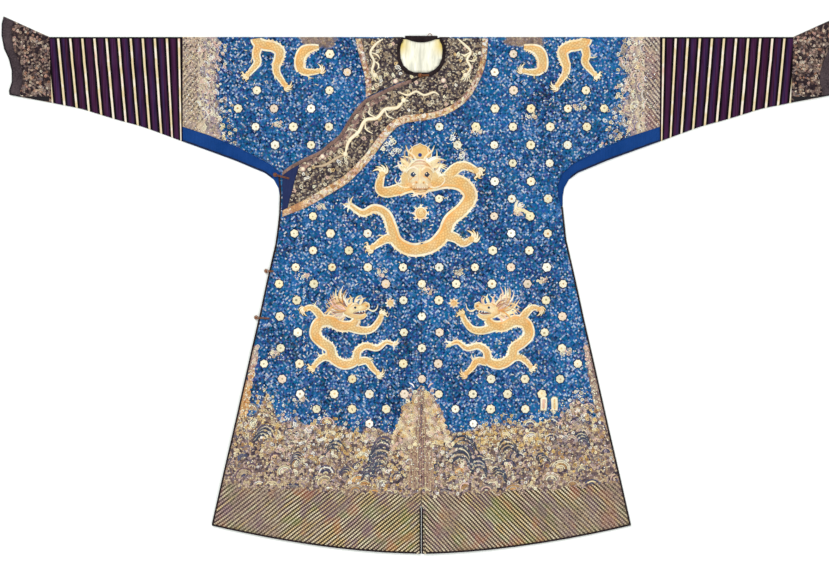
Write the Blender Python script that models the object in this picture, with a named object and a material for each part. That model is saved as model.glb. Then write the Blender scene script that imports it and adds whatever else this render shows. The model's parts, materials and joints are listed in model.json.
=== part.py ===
"""A Manchu court dragon robe laid flat, front up: every cut and sewn piece as its own closed solid.

Metres. z = 0 is the surface the robe lies on, +Z is up, +Y runs from hem to shoulder and +X is the
wearer's left. A place on the robe is (x, drop), where drop is the distance below the shoulder fold.
"""

import math
from collections import namedtuple

import bmesh
import bpy

# ---- Driving dimensions ------------------------------------------------------------------------
LENGTH = 1.402            # shoulder fold to the lowest point of the hem
TIP_RISE = 0.056          # how far the cuffs' tips stand above the shoulder fold
SHOULDER_Y = (LENGTH - TIP_RISE) / 2   # so that the robe's middle is at y = 0
CLOTH = 0.0014            # lined and embroidered silk
GAP = 0.0003              # between pieces, and between cloths that lie on each other
LAYER = CLOTH + GAP
FACING = 0.0010           # collar facing and its trims
BINDING_THICK = 0.0018
BINDING_WIDTH = 0.0045    # dark binding of hems, slit and overlap, and the side piping
FOLD_OUT = (LAYER + CLOTH) / 2   # outer radius where a cloth folds over onto itself
FOLD_IN = GAP / 2

SLEEVE_SEAM = 0.6475      # centre line to the end of the blue upper sleeve
STRIP_AT_SEAM = 0.040     # height of the plain under-sleeve strip at that seam
CUFF_SEAM_TOP = 1.009
CUFF_SEAM_FOOT = 1.003
CUFF_DEPTH = 0.1785       # height of the sleeve at the cuff seam
CUFF_BORDER = 0.030

NECK_DEPTH = 0.100
NECK_BINDING = 0.008
NECK_CLEAR = 0.0010       # the cloth stops this far short of the binding's inner edge
INNER_FRONT_SHY = 0.025   # the hidden inner front stops this far before the centre
INNER_HEM_SHY = 0.014     # and is this much shorter at the hem
INNER_SIDE_SHY = 0.002

SKIRT_TOP = 0.460         # below this the rows of cloth follow the hem's curve
HEM_RISE = 0.077          # how much higher the hem is at the side than at the centre
HEM_HALF = 0.569          # half its width
HEM_BEND = 1.75           # power of the hem's curve
SLIT_TOP = 1.275          # drop at which the centre slit begins
SLIT_HALF = 0.0042        # half its width at the hem, in front
BACK_SLIT_HALF = 0.0010
SLIT_ROW = 0.002          # rows of points this far above and below the slit's top
BACK_NECK_ROW = 0.003     # the back's neckline ends this far below the shoulder fold
LIFT_RUN = 0.34           # the left front comes down from the inner front's height over this width
LIFT_DROP = 0.100

BACK_BAND_BASE = LAYER + FACING + 3 * GAP   # underside of the band across the back of the neck
BACK_BAND_HALF = 0.044
BACK_BAND_TOP = -0.003    # drop of its upper edge, above the shoulder fold
BACK_BAND_FOOT = 0.0035   # drop of its lower edge at the ends
BACK_BAND_SAG = 0.0115    # and how much lower that edge is in the middle
BACK_LOOP_X = 0.0235      # middle of the small cord loop behind it
BACK_LOOP_RADIUS = 0.0055
LINING_TOP = 0.0065       # drop of the upper edge of the lining that shows in the neck
PLEATS = 12               # gold-edged pleats in each sleeve extension
PLEAT_FIRST = 0.6577      # centre of the first gold line at the shoulder fold
PLEAT_PITCH = 0.03279
PLEAT_LINE = 0.0070       # width of the raised gold line
PLEAT_RISE = 0.0006
PLEAT_STEP = 0.0003       # the band beside it lies this much higher than the next
PLEAT_RAMP = 0.0012       # width of the slope at each edge of a line
SLEEVE_PUFF = 0.0010

LOOP_CORD = 0.0010        # radius of the loops' cord
KNOT = 0.0036             # radius of a knotted toggle button
LOOP_REACH = 1.3          # a loop closes behind its knot at this many times its own radius
LOOP_PASSES = 0.0010      # a loop stays level this far past the robe's edge
LOOP_FALL = 0.0028        # and then comes down to its knot over this distance
LEGS_APART = 1.35         # half the distance between a loop's legs, in radii of its cord
LOOP_OPENS = 0.80 * math.pi  # a loop's round part runs this far either way from its tip
NECK_TOGGLE_X = -0.0030
NECK_TOGGLE_BELOW = 0.0045   # below the neck binding's inner edge
NECK_STRAP = 0.024
EDGING = 0.010            # dark edging along the overlap's upper edge
EDGE_SHOWS = 0.0012       # the overlap's own edge shows this far beyond the edging
EDGE_CLEAR = 0.0025       # what lies under the overlap's edge stops this far short of the edging
COLLAR_TURN = 6           # row of COLLAR where the facing passes from the neck to the overlap's edge
EVEN_END = 15             # the facing's stations are even up to this row of COLLAR
PATCH_START, PATCH_LEAN = 16.2, 1.5      # row of COLLAR where the end patch begins, and its seam's slant

# ---- Tables ------------------------------------------------------------------------------------
Side = namedtuple("Side", "drop half")            # side seam: half width of the body
Neck = namedtuple("Neck", "drop half")            # inner edge of the neck binding
Lower = namedtuple("Lower", "x drop")             # lower edge of the sleeve extension
Strip = namedtuple("Strip", "x drop width")       # lower edge of the upper sleeve, round the underarm
Slant = namedtuple("Slant", "x lean")
Collar = namedtuple("Collar", "inner_x inner_drop outer_x outer_drop trim")
Mouth = namedtuple("Mouth", "x drop")             # cuff's mouth, from its tip down
Fold = namedtuple("Fold", "x0 drop0 x1 drop1 height reach")
Toggle = namedtuple("Toggle", "name drop beyond angle strap rests_at over")

SIDE = (
    Side(0.374, 0.3880), Side(0.400, 0.3855), Side(0.430, 0.3837), Side(0.460, 0.3838),
    Side(0.509, 0.3880), Side(0.560, 0.3950), Side(0.631, 0.4125), Side(0.715, 0.4300),
    Side(0.822, 0.4548), Side(0.960, 0.4860), Side(1.053, 0.5068), Side(1.200, 0.5410),
    Side(1.325, 0.5690), Side(1.402, 0.5860),
)
NECK = (
    Neck(0.000, 0.0470), Neck(0.012, 0.0540), Neck(0.035, 0.0580), Neck(0.058, 0.0560),
    Neck(0.077, 0.0480), Neck(0.091, 0.0320), Neck(0.098, 0.0140), Neck(0.100, 0.0),
)
SLEEVE_LOWER = (
    Lower(0.6475, 0.2835), Lower(0.7090, 0.2605), Lower(0.7632, 0.2415), Lower(0.8180, 0.2266),
    Lower(0.8720, 0.2103), Lower(0.9265, 0.1940), Lower(0.9805, 0.1831), Lower(1.0030, 0.1785),
    Lower(1.0300, 0.1750),
)
STRIP = (
    Strip(0.6475, 0.2835, 0.040), Strip(0.5870, 0.3052, 0.040), Strip(0.5055, 0.3350, 0.036),
    Strip(0.4241, 0.3690, 0.028), Strip(0.4002, 0.3870, 0.025), Strip(0.3875, 0.4100, 0.019),
    Strip(0.3837, 0.4340, 0.012), Strip(0.3837, 0.4588, 0.005),
)
# Lean of the pleats: how far the foot of the line that starts at x runs back for each unit of drop.
SLANT = (
    Slant(0.6475, 0.0), Slant(0.6577, 0.022), Slant(0.7000, 0.062), Slant(0.8000, 0.085),
    Slant(1.0090, 0.097),
)
# Across the shoulder on the wearer's left, round under the neck, then down the overlap's edge.
COLLAR = (
    Collar(0.0560, 0.0040, 0.1815, 0.0040, 0.016),
    Collar(0.0665, 0.0300, 0.1790, 0.0400, 0.016),
    Collar(0.0648, 0.0600, 0.1723, 0.0800, 0.016),
    Collar(0.0550, 0.0840, 0.1500, 0.1350, 0.016),
    Collar(0.0370, 0.1010, 0.1167, 0.1800, 0.016),
    Collar(0.0180, 0.1075, 0.0616, 0.2130, 0.017),
    Collar(-0.0010, 0.1090, 0.0100, 0.2260, 0.018),
    Collar(-0.0600, 0.1255, -0.0400, 0.2325, 0.020),
    Collar(-0.1100, 0.1480, -0.0700, 0.2480, 0.022),
    Collar(-0.1520, 0.1690, -0.0950, 0.2760, 0.022),
    Collar(-0.1800, 0.1980, -0.1170, 0.3050, 0.022),
    Collar(-0.2035, 0.2350, -0.1397, 0.3362, 0.022),
    Collar(-0.2230, 0.2665, -0.1680, 0.3660, 0.022),
    Collar(-0.2496, 0.2876, -0.1980, 0.3950, 0.022),
    Collar(-0.2746, 0.3090, -0.2341, 0.4180, 0.022),
    Collar(-0.3020, 0.3220, -0.2720, 0.4400, 0.022),
    Collar(-0.3264, 0.3337, -0.3107, 0.4621, 0.022),
    Collar(-0.3520, 0.3475, -0.3450, 0.4760, 0.020),
    Collar(-0.3660, 0.3575, -0.3680, 0.4845, 0.018),
    Collar(-0.3770, 0.3665, -0.3765, 0.4880, 0.017),
)
# The same on the wearer's right shoulder, mirrored; its last row lies along the overlap's edge.
RIGHT_COLLAR = (
    Collar(0.0560, 0.0040, 0.1790, 0.0040, 0.016),
    Collar(0.0665, 0.0300, 0.1725, 0.0350, 0.016),
    Collar(0.0648, 0.0600, 0.1630, 0.0700, 0.016),
    Collar(0.0560, 0.0830, 0.1540, 0.1050, 0.016),
    Collar(0.0380, 0.1005, 0.1500, 0.1350, 0.016),
    Collar(0.0035, 0.1072, 0.1510, 0.1640, 0.016),
)
MOUTH = (
    Mouth(1.1330, -0.0560), Mouth(1.1380, -0.0400), Mouth(1.1390, -0.0200), Mouth(1.1380, 0.0120),
    Mouth(1.1295, 0.0380), Mouth(1.1190, 0.0600), Mouth(1.1120, 0.0850), Mouth(1.1100, 0.1100),
    Mouth(1.1130, 0.1320), Mouth(1.1190, 0.1480), Mouth(1.1175, 0.1570),
)
# The largest soft swellings of the cloth, as ridges from one place to another.
FOLDS = (
    Fold(0.150, 0.560, 0.200, 1.230, 0.0018, 0.085),
    Fold(0.330, 0.560, 0.440, 1.180, 0.0022, 0.095),
    Fold(0.300, 0.160, 0.520, 0.150, 0.0016, 0.070),
    Fold(0.440, 0.280, 0.320, 0.430, 0.0014, 0.050),
    Fold(-0.130, 0.600, -0.170, 1.200, 0.0020, 0.085),
    Fold(-0.310, 0.640, -0.410, 1.200, 0.0020, 0.095),
    Fold(-0.040, 0.980, -0.050, 1.160, 0.0012, 0.036),
)
# Toggles just beyond the overlap's side edge; the loop's strap runs back over cloth of height over.
TOGGLES = (
    Toggle("side_upper", 0.635, 0.0075, 178.0, 0.020, 0.0, 2 * LAYER + BINDING_THICK),
    Toggle("side_lower", 0.761, 0.0075, 176.0, 0.036, 0.0, 2 * LAYER + BINDING_THICK),
    Toggle("underarm", 0.374, 0.0085, 165.0, 0.040, LAYER + CLOTH, 3 * LAYER + FACING),
)

COLORS = {   # base colour, roughness
    "blue_silk": ((0.045, 0.130, 0.330), 0.55),
    "plain_blue": ((0.030, 0.085, 0.210), 0.45),
    "striped_silk": ((0.055, 0.028, 0.080), 0.50),
    "cuff_silk": ((0.230, 0.170, 0.150), 0.70),
    "dark_border": ((0.085, 0.070, 0.080), 0.65),
    "collar_silk": ((0.130, 0.095, 0.110), 0.70),
    "gold_trim": ((0.620, 0.430, 0.240), 0.60),
    "navy_silk": ((0.012, 0.018, 0.060), 0.55),
    "binding": ((0.018, 0.015, 0.022), 0.60),
    "lining": ((0.830, 0.790, 0.660), 0.55),
    "toggle_cord": ((0.230, 0.085, 0.040), 0.60),
}


# ---- Curves ------------------------------------------------------------------------------------
class Curve:
    """A smooth curve through (at, value) pairs that never overshoots them."""

    def __init__(self, pairs):
        self.at = [a for a, _ in pairs]
        self.value = [v for _, v in pairs]
        slopes = [
            (self.value[i + 1] - self.value[i]) / (self.at[i + 1] - self.at[i])
            for i in range(len(pairs) - 1)
        ]
        inner = [
            0.0 if a * b <= 0 else 2 * a * b / (a + b)
            for a, b in zip(slopes, slopes[1:])
        ]
        self.slope = [slopes[0]] + inner + [slopes[-1]]

    def __call__(self, at):
        at = min(max(at, self.at[0]), self.at[-1])
        i = max(k for k in range(len(self.at) - 1) if self.at[k] <= at)
        span = self.at[i + 1] - self.at[i]
        t = (at - self.at[i]) / span
        return (
            (1 + 2 * t) * (1 - t) ** 2 * self.value[i]
            + t * (1 - t) ** 2 * span * self.slope[i]
            + t * t * (3 - 2 * t) * self.value[i + 1]
            + t * t * (t - 1) * span * self.slope[i + 1]
        )


def mix(a, b, t):
    return tuple(p + (q - p) * t for p, q in zip(a, b))


def ease(t):
    t = min(max(t, 0.0), 1.0)
    return t * t * (3 - 2 * t)


def along(start, end, steps):
    return [start + (end - start) * i / steps for i in range(steps + 1)]


side_half = Curve([(r.drop, r.half) for r in SIDE])
neck_half = Curve([(r.drop, r.half) for r in NECK])
pleat_slant = Curve([(r.x, r.lean) for r in SLANT])
sleeve_lower = Curve([(r.x, r.drop) for r in SLEEVE_LOWER])


def hem_drop(x):
    return LENGTH - HEM_RISE * (abs(x) / HEM_HALF) ** HEM_BEND


# ---- Heights -----------------------------------------------------------------------------------
def swelling(x, drop):
    """How far the soft folds lift the outer front."""
    total = 0.0
    for f in FOLDS:
        run = (f.x1 - f.x0, f.drop1 - f.drop0)
        t = ((x - f.x0) * run[0] + (drop - f.drop0) * run[1]) / (run[0] ** 2 + run[1] ** 2)
        t = min(max(t, 0.0), 1.0)
        away = math.hypot(x - f.x0 - t * run[0], drop - f.drop0 - t * run[1]) / f.reach
        if away < 1:
            total += f.height * (1 - away * away) ** 2
    return total


def front_base(x, drop):
    """Underside of the outer front: the overlap on the wearer's right, the left half on the left."""
    if x < 0:
        return 2 * LAYER + swelling(x, drop)
    lift = (1 - ease(x / LIFT_RUN)) * ease(drop / LIFT_DROP)
    return LAYER * (1 + lift) + swelling(x, drop)


def inner_base(x, drop):
    """Underside of the right half's own front."""
    return LAYER


def place(x, drop, z):
    return (x, SHOULDER_Y - drop, z)


# ---- Solids ------------------------------------------------------------------------------------
def material(name):
    found = bpy.data.materials.get(name)
    if found:
        return found
    color, rough = COLORS[name]
    made = bpy.data.materials.new(name)
    made.use_nodes = True
    shader = made.node_tree.nodes["Principled BSDF"]
    shader.inputs["Base Color"].default_value = (*color, 1.0)
    shader.inputs["Roughness"].default_value = rough
    shader.inputs["Metallic"].default_value = 0.0
    made.diffuse_color = (*color, 1.0)
    return made


def add_object(name, verts, faces, finish):
    mesh = bpy.data.meshes.new(name)
    mesh.from_pydata(verts, [], faces)
    work = bmesh.new()
    work.from_mesh(mesh)
    bmesh.ops.recalc_face_normals(work, faces=work.faces)
    work.to_mesh(mesh)
    work.free()
    mesh.materials.append(material(finish))
    mesh.shade_smooth()
    mesh.set_sharp_from_angle(angle=math.radians(40))
    made = bpy.data.objects.new(name, mesh)
    bpy.context.scene.collection.objects.link(made)
    return made


def wall(name, outer, inner, finish, wraps=False):
    """A cloth wall between two grids of points, closed round its rim."""
    rows, cols = len(outer), len(outer[0])
    size = rows * cols
    verts = [p for grid in (outer, inner) for row in grid for p in row]

    def at(face, i, j):
        return face * size + i * cols + j % cols

    faces = []
    for i in range(rows - 1):
        for j in range(cols if wraps else cols - 1):
            for face in (0, 1):
                faces.append([at(face, i, j), at(face, i, j + 1), at(face, i + 1, j + 1), at(face, i + 1, j)])
    for i in (0, rows - 1):
        for j in range(cols if wraps else cols - 1):
            faces.append([at(0, i, j), at(0, i, j + 1), at(1, i, j + 1), at(1, i, j)])
    if not wraps:
        for j in (0, cols - 1):
            for i in range(rows - 1):
                faces.append([at(0, i, j), at(0, i + 1, j), at(1, i + 1, j), at(1, i, j)])
    return add_object(name, verts, faces, finish)


def sheet(name, grid, base, thick, finish):
    """A flat piece over a grid of (x, drop), with its underside at base(x, drop)."""
    low = [[place(x, d, base(x, d)) for x, d in row] for row in grid]
    top = [[place(x, d, base(x, d) + thick) for x, d in row] for row in grid]
    return wall(name, top, low, finish)


def bar(name, outer, inner, base, thick, finish):
    """A narrow strip of cloth between two edges of (x, drop)."""
    return sheet(name, [outer, inner], base, thick, finish)


def cord(name, path, radii, finish, sides=6):
    """A round cord along a path of (x, y, z), with a radius at each point."""
    verts, faces = [], []
    last = len(path) - 1
    for i, (point, radius) in enumerate(zip(path, radii)):
        a, b = path[max(i - 1, 0)], path[min(i + 1, last)]
        run = [q - p for p, q in zip(a, b)]
        flat = math.hypot(run[0], run[1]) or 1.0
        across = (-run[1] / flat, run[0] / flat, 0.0)
        length = math.sqrt(sum(c * c for c in run))
        up = (-run[2] * run[0] / flat / length, -run[2] * run[1] / flat / length, flat / length)
        for k in range(sides):
            turn = 2 * math.pi * (k + 0.5) / sides
            verts.append(tuple(
                p + radius * (math.cos(turn) * s + math.sin(turn) * u)
                for p, s, u in zip(point, across, up)
            ))
    for i in range(last):
        for k in range(sides):
            n = (k + 1) % sides
            faces.append([i * sides + k, i * sides + n, (i + 1) * sides + n, (i + 1) * sides + k])
    faces.append(list(range(sides)))
    faces.append([last * sides + k for k in range(sides)])
    return add_object(name, verts, faces, finish)


# ---- Body --------------------------------------------------------------------------------------
def strip_lines():
    """Lower and upper edge of the under-sleeve strip, station by station."""
    lower = [(r.x, r.drop) for r in STRIP]
    upper = []
    for i, row in enumerate(STRIP):
        a, b = lower[max(i - 1, 0)], lower[min(i + 1, len(lower) - 1)]
        run = (b[0] - a[0], b[1] - a[1])
        size = math.hypot(*run)
        upper.append((row.x - row.width * run[1] / size, row.drop + row.width * run[0] / size))
    upper[0] = (SLEEVE_SEAM, STRIP[0].drop - STRIP_AT_SEAM)
    return lower, upper


def body_outline():
    """(drop, half width) of the blue cloth from the shoulder down to the skirt."""
    _, upper = strip_lines()
    seam = SLEEVE_SEAM - GAP / 2
    rows = [(FOLD_OUT, seam), (upper[0][1] - GAP, seam)]
    for a, b in zip(upper, upper[1:]):
        run = (b[0] - a[0], b[1] - a[1])
        size = math.hypot(*run)
        rows.append((b[1] + GAP * run[0] / size, b[0] - GAP * run[1] / size))
    return rows


def body_half_width(drop):
    rows = body_outline()
    if drop <= rows[-1][0]:
        for (d0, x0), (d1, x1) in zip(rows, rows[1:]):
            if drop <= d1:
                return x0 + (x1 - x0) * max(drop - d0, 0) / (d1 - d0)
    return side_half(drop) - BINDING_WIDTH - GAP


def slit_edge(half):
    """Inner edge of the cloth beside the centre: the seam, then the slit with its binding."""
    def edge(drop):
        if drop < SLIT_TOP:
            return GAP / 2
        return half + BINDING_WIDTH + GAP
    return edge


def cloth_hem(x):
    return hem_drop(x) - BINDING_WIDTH - GAP


def row_points(drop_at, inner_edge, outer_edge, shares):
    """One row of (x, drop) from the inner to the outer edge, where drop may depend on x."""
    ends = []
    for edge in (inner_edge, outer_edge):
        x = 0.3
        for _ in range(12):
            x = edge(drop_at(x))
        ends.append(x)
    xs = [ends[0] + (ends[1] - ends[0]) * s for s in shares]
    return [(x, drop_at(x)) for x in xs]


COLUMNS = (0.0, 0.05, 0.12, 0.21, 0.32, 0.44, 0.57, 0.70, 0.82, 0.92, 1.0)
BODY_DROPS = (0.010, 0.022, 0.038, 0.058, 0.077, 0.090, 0.0965, 0.1003, 0.125, 0.160, 0.200)
SKIRT_SHARES = (0.0, 0.10, 0.22, 0.34, 0.46, 0.58, 0.70, 0.80)


def body_rows(inner_edge, hem, slit, fine, outer_edge):
    """Rows of (x, drop) from just below the shoulder fold to the hem."""
    drops = [FOLD_OUT] + [d for d in BODY_DROPS if fine or d > 0.1] + [d for d, _ in body_outline()[1:]]
    rows = [row_points(lambda x, d=d: d, inner_edge, outer_edge, COLUMNS) for d in drops]
    shares = list(SKIRT_SHARES)
    if slit:
        shares += [(SLIT_TOP + shift - SKIRT_TOP) / (hem(0) - SKIRT_TOP) for shift in (-SLIT_ROW, SLIT_ROW)]
    for s in shares + [1.0]:
        rows.append(row_points(
            lambda x, s=s: SKIRT_TOP + s * (hem(x) - SKIRT_TOP), inner_edge, outer_edge, COLUMNS
        ))
    return rows


def neck_then(edge):
    """The inner edge of a front: round the neck, then whatever lies below it."""
    return lambda drop: neck_half(drop) + NECK_CLEAR if drop < NECK_DEPTH else edge(drop)


def back_edge(drop):
    return neck_half(0) + NECK_CLEAR if drop < BACK_NECK_ROW else slit_edge(BACK_SLIT_HALF)(drop)


def left_front_rows():
    return body_rows(neck_then(slit_edge(SLIT_HALF)), cloth_hem, True, True, body_half_width)


def inner_front_rows():
    def narrower(drop):
        return body_half_width(drop) - (INNER_SIDE_SHY if drop > SKIRT_TOP + GAP else 0.0)

    def shorter(x):
        return cloth_hem(x) - INNER_HEM_SHY

    return body_rows(neck_then(lambda drop: INNER_FRONT_SHY), shorter, False, True, narrower)


def back_rows():
    rows = body_rows(back_edge, cloth_hem, True, False, body_half_width)
    rows.insert(1, row_points(lambda x: 2 * BACK_NECK_ROW, back_edge, body_half_width, COLUMNS))
    return rows


def body_half(name, side, front, base):
    """One half of the robe in a single length of cloth, folded over the shoulder."""
    outer, inner = [], []
    for row in reversed(front):
        points = [(side * x, d) for x, d in row]
        outer.append([place(x, d, base(x, d) + CLOTH) for x, d in points])
        inner.append([place(x, d, base(x, d)) for x, d in points])
    for turn in (50, 0, -50):
        lean = math.radians(turn)
        for grid, radius in ((outer, FOLD_OUT), (inner, FOLD_IN)):
            grid.append([
                place(side * x, FOLD_OUT - radius * math.cos(lean), FOLD_OUT + radius * math.sin(lean))
                for x, _ in front[0]
            ])
    for row in back_rows():
        outer.append([place(side * x, d, 0.0) for x, d in row])
        inner.append([place(side * x, d, CLOTH) for x, d in row])
    return wall(name, outer, inner, "blue_silk")


def build_body():
    body_half("left_half", 1, left_front_rows(), front_base)
    body_half("right_half", -1, inner_front_rows(), inner_base)


# ---- Collar line, shared by the overlap and what lies on it --------------------------------------
def collar_curves(rows):
    return [Curve([(i, row[c]) for i, row in enumerate(rows)]) for c in range(5)]


COLLAR_LINES = collar_curves(COLLAR)
RIGHT_COLLAR_LINES = collar_curves(RIGHT_COLLAR)


def collar_point(lines, k, share):
    ix, idrop, ox, odrop, _ = (line(k) for line in lines)
    return mix((ix, idrop), (ox, odrop), share)


def collar_width(lines, k):
    return math.dist(collar_point(lines, k, 0), collar_point(lines, k, 1))


def trim_share(lines, k):
    return 1 - lines[4](k) / collar_width(lines, k)


def edging_share(k, extra=0.0):
    """Where the overlap's dark edging ends; none of it runs beside the neck."""
    start = COLLAR_TURN + 0.1
    return ease((k - start) / 0.2) * (EDGING + extra) / collar_width(COLLAR_LINES, k)


overlap_edge = Curve([(-row.inner_x, row.inner_drop) for row in COLLAR[COLLAR_TURN:]])


def overlap_side(drop):
    return side_half(drop) - BINDING_WIDTH - GAP


def overlap_rows():
    """Rows of the overlap panel from its curved upper edge to the hem, x from the centre outwards."""
    last = len(COLLAR) - 1
    stations = (COLLAR_TURN, 7, 8, 9, 10, 11.5, 13, 14.5, 16, 17.5, last)
    top = []
    for k in stations:
        x, drop = collar_point(COLLAR_LINES, k, 0)
        top.append((min(-x / overlap_side(drop), 1.0), drop - EDGE_SHOWS))
    top[0] = (0.0, top[0][1])
    top[-1] = (1.0, side_half.at[0])
    depth = cloth_hem(0) - top[0][1]
    slit = [(SLIT_TOP + shift - top[0][1]) / depth for shift in (-SLIT_ROW, SLIT_ROW)]
    edge = slit_edge(SLIT_HALF)
    rows = []
    for s in [0.0, 0.05, 0.12, 0.20, 0.29, 0.39, 0.49, 0.59, 0.69, 0.79] + slit + [1.0]:
        row = []
        for share, start in top:
            x = 0.3
            for _ in range(12):
                drop = start + s * (cloth_hem(x) - start)
                x = edge(drop) + share * (overlap_side(drop) - edge(drop))
            row.append((x, drop))
        rows.append(row)
    return rows


def build_overlap():
    rows = [[(-x, drop) for x, drop in row] for row in overlap_rows()]
    sheet("overlap_panel", rows, front_base, CLOTH, "blue_silk")


# ---- Sleeves -----------------------------------------------------------------------------------
def inset(line, distance):
    """The line with its two ends drawn in by the distance."""
    def drawn(end, toward):
        return mix(end, toward, distance / math.dist(end, toward))
    return [drawn(line[0], line[1])] + list(line[1:-1]) + [drawn(line[-1], line[-2])]


def tube_ring(front, back, lift, rise, side):
    """Outer and inner points round a flattened sleeve; front and back run from its top to its foot."""
    def spot(point, z):
        return place(side * point[0], point[1], z)

    outer, inner = [], []
    narrow = inset(front, FOLD_OUT)
    for i, point in enumerate(narrow):
        share = i / (len(narrow) - 1)
        z = LAYER + lift * math.sin(math.pi * share)
        outer.append(spot(point, z + CLOTH + rise))
        inner.append(spot(point, z))
    ends = inset(back, FOLD_OUT - FOLD_IN)
    outer.append(spot(back[-1], FOLD_OUT))
    inner.append(spot(ends[-1], FOLD_OUT))
    for point in reversed(inset(back, FOLD_OUT)):
        outer.append(spot(point, 0.0))
        inner.append(spot(point, CLOTH))
    outer.append(spot(back[0], FOLD_OUT))
    inner.append(spot(ends[0], FOLD_OUT))
    return outer, inner


def tube(name, stations, side, finish):
    """A flattened sleeve, open at both ends, through stations of (front, back, lift, rise)."""
    rings = [tube_ring(*station, side) for station in stations]
    return wall(name, [r[0] for r in rings], [r[1] for r in rings], finish, wraps=True)


def pleat_line(x):
    """Top and foot of the slanting line that crosses the shoulder fold at x."""
    foot = x
    for _ in range(8):
        foot = x - pleat_slant(x) * sleeve_lower(foot)
    return (x, 0.0), (foot, sleeve_lower(foot))


def sleeve_stations():
    start = SLEEVE_SEAM + GAP / 2
    half, ramp = PLEAT_LINE / 2, PLEAT_RAMP
    cuts = [(start, 0.0)]
    for n in range(PLEATS - 1):
        x = PLEAT_FIRST + n * PLEAT_PITCH
        middle = x + PLEAT_PITCH / 2
        cuts += [
            (x - half, 0.0), (x - half + ramp, PLEAT_RISE), (x + half - ramp, PLEAT_RISE),
            (x + half, PLEAT_STEP), (middle, PLEAT_STEP), (middle + ramp, 0.0),
        ]
    lines = [(*pleat_line(x), rise) for x, rise in cuts if x < CUFF_SEAM_TOP - PLEAT_LINE]
    # The last gold line comes out of the cuff's seam, so it widens from nothing to its foot.
    seam_top, seam_foot = CUFF_SEAM_TOP - GAP / 2, CUFF_SEAM_FOOT - GAP / 2
    for back, rise in ((2 * ramp, 0.0), (ramp, PLEAT_RISE), (0.0, PLEAT_RISE)):
        foot = seam_foot - back - (PLEAT_LINE if back else 0.0)
        lines.append(((seam_top - back, 0.0), (foot, sleeve_lower(foot)), rise))
    stations = []
    for top, foot, rise in lines:
        front = [mix(top, foot, share) for share in (0.0, 0.3, 0.65, 1.0)]
        lift = SLEEVE_PUFF * math.sin(math.pi * (top[0] - start) / (seam_top - start))
        stations.append((front, [top, foot], lift, rise))
    return stations


def cuff_grid_point(along_share, down_share):
    """A place on the cuff: 0 to 1 from the seam to the mouth, 0 to 1 from the top edge to the foot."""
    seam = mix((CUFF_SEAM_TOP, 0.0), (CUFF_SEAM_FOOT, CUFF_DEPTH), down_share)
    k = down_share * (len(MOUTH) - 1)
    return mix(seam, (mouth_x(k), mouth_drop(k)), along_share)


mouth_x = Curve([(i, m.x) for i, m in enumerate(MOUTH)])
mouth_drop = Curve([(i, m.drop) for i, m in enumerate(MOUTH)])


def border_share(down_share):
    length = math.dist(cuff_grid_point(0, down_share), cuff_grid_point(1, down_share))
    return 1 - CUFF_BORDER / length


def cuff_stations(start, end, steps):
    """Stations between two lines, each a share along the cuff as a function of the share down it."""
    downs = along(0.0, 1.0, 8)
    stations = []
    for t in along(0.0, 1.0, steps):
        line = [cuff_grid_point(start(d) + (end(d) - start(d)) * t, d) for d in downs]
        stations.append((line, line, 0.0, 0.0))
    return stations


def strip_ring(low, high, side):
    """Outer and inner points of the under-sleeve strip's U section."""
    bend = mix(low, high, FOLD_OUT / math.dist(low, high))
    fold_in = mix(low, high, (FOLD_OUT - FOLD_IN) / math.dist(low, high))

    def spot(point, z):
        return place(side * point[0], point[1], z)

    top = LAYER + CLOTH
    outer = [spot(high, top), spot(bend, top), spot(low, FOLD_OUT), spot(bend, 0.0), spot(high, 0.0)]
    inner = [
        spot(high, LAYER), spot(bend, LAYER), spot(fold_in, FOLD_OUT), spot(bend, CLOTH), spot(high, CLOTH),
    ]
    return outer, inner


def cuff_gap(down_share):
    """The gap at a cuff's seams as a share of the cuff's length there."""
    return GAP / math.dist(cuff_grid_point(0, down_share), cuff_grid_point(1, down_share))


def build_sleeves():
    lower, upper = strip_lines()
    seam = SLEEVE_SEAM - GAP / 2
    lower[0], upper[0] = (seam, lower[0][1]), (seam, upper[0][1])
    for label, side in (("left", 1), ("right", -1)):
        rings = [strip_ring(p, q, side) for p, q in zip(lower, upper)]
        wall(f"{label}_under_sleeve", [r[0] for r in rings], [r[1] for r in rings], "plain_blue")
        tube(f"{label}_sleeve_pleated", sleeve_stations(), side, "striped_silk")
        cuff = cuff_stations(cuff_gap, border_share, 3)
        tube(f"{label}_cuff", cuff, side, "cuff_silk")
        border = cuff_stations(lambda d: border_share(d) + 1.2 * cuff_gap(d), lambda d: 1.0, 1)
        tube(f"{label}_cuff_border", border, side, "dark_border")


# ---- Collar ------------------------------------------------------------------------------------
def on_front(x, drop):
    return front_base(x, drop) + CLOTH + GAP


def on_inner(x, drop):
    return inner_base(x, drop) + CLOTH + GAP


def patch_seam(t):
    """Station where the navy end patch begins, from the facing's upper edge to its lower one."""
    return PATCH_START + PATCH_LEAN * t


def facing_stations(t):
    """Even stations, then a few that close in on the slanting seam of the end patch."""
    return along(0.0, EVEN_END, 2 * EVEN_END) + along(EVEN_END, patch_seam(t) - 0.02, 5)[1:]


def patch_stations(t):
    return along(patch_seam(t), len(COLLAR) - 1.0, 4)


def collar_piece(name, lines, stations, low, high, across, base, finish, side=1):
    """A piece of the facing along its stations, between two shares of its width."""
    grid = []
    for t in along(0.0, 1.0, across):
        row = []
        for k in stations(t):
            x, drop = collar_point(lines, k, low(k) + (high(k) - low(k)) * t)
            if side < 0:
                drop = min(drop, overlap_edge(x) - EDGE_CLEAR)
            row.append((side * x, drop))
        grid.append(row)
    return sheet(name, grid, base, FACING, finish)


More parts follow.
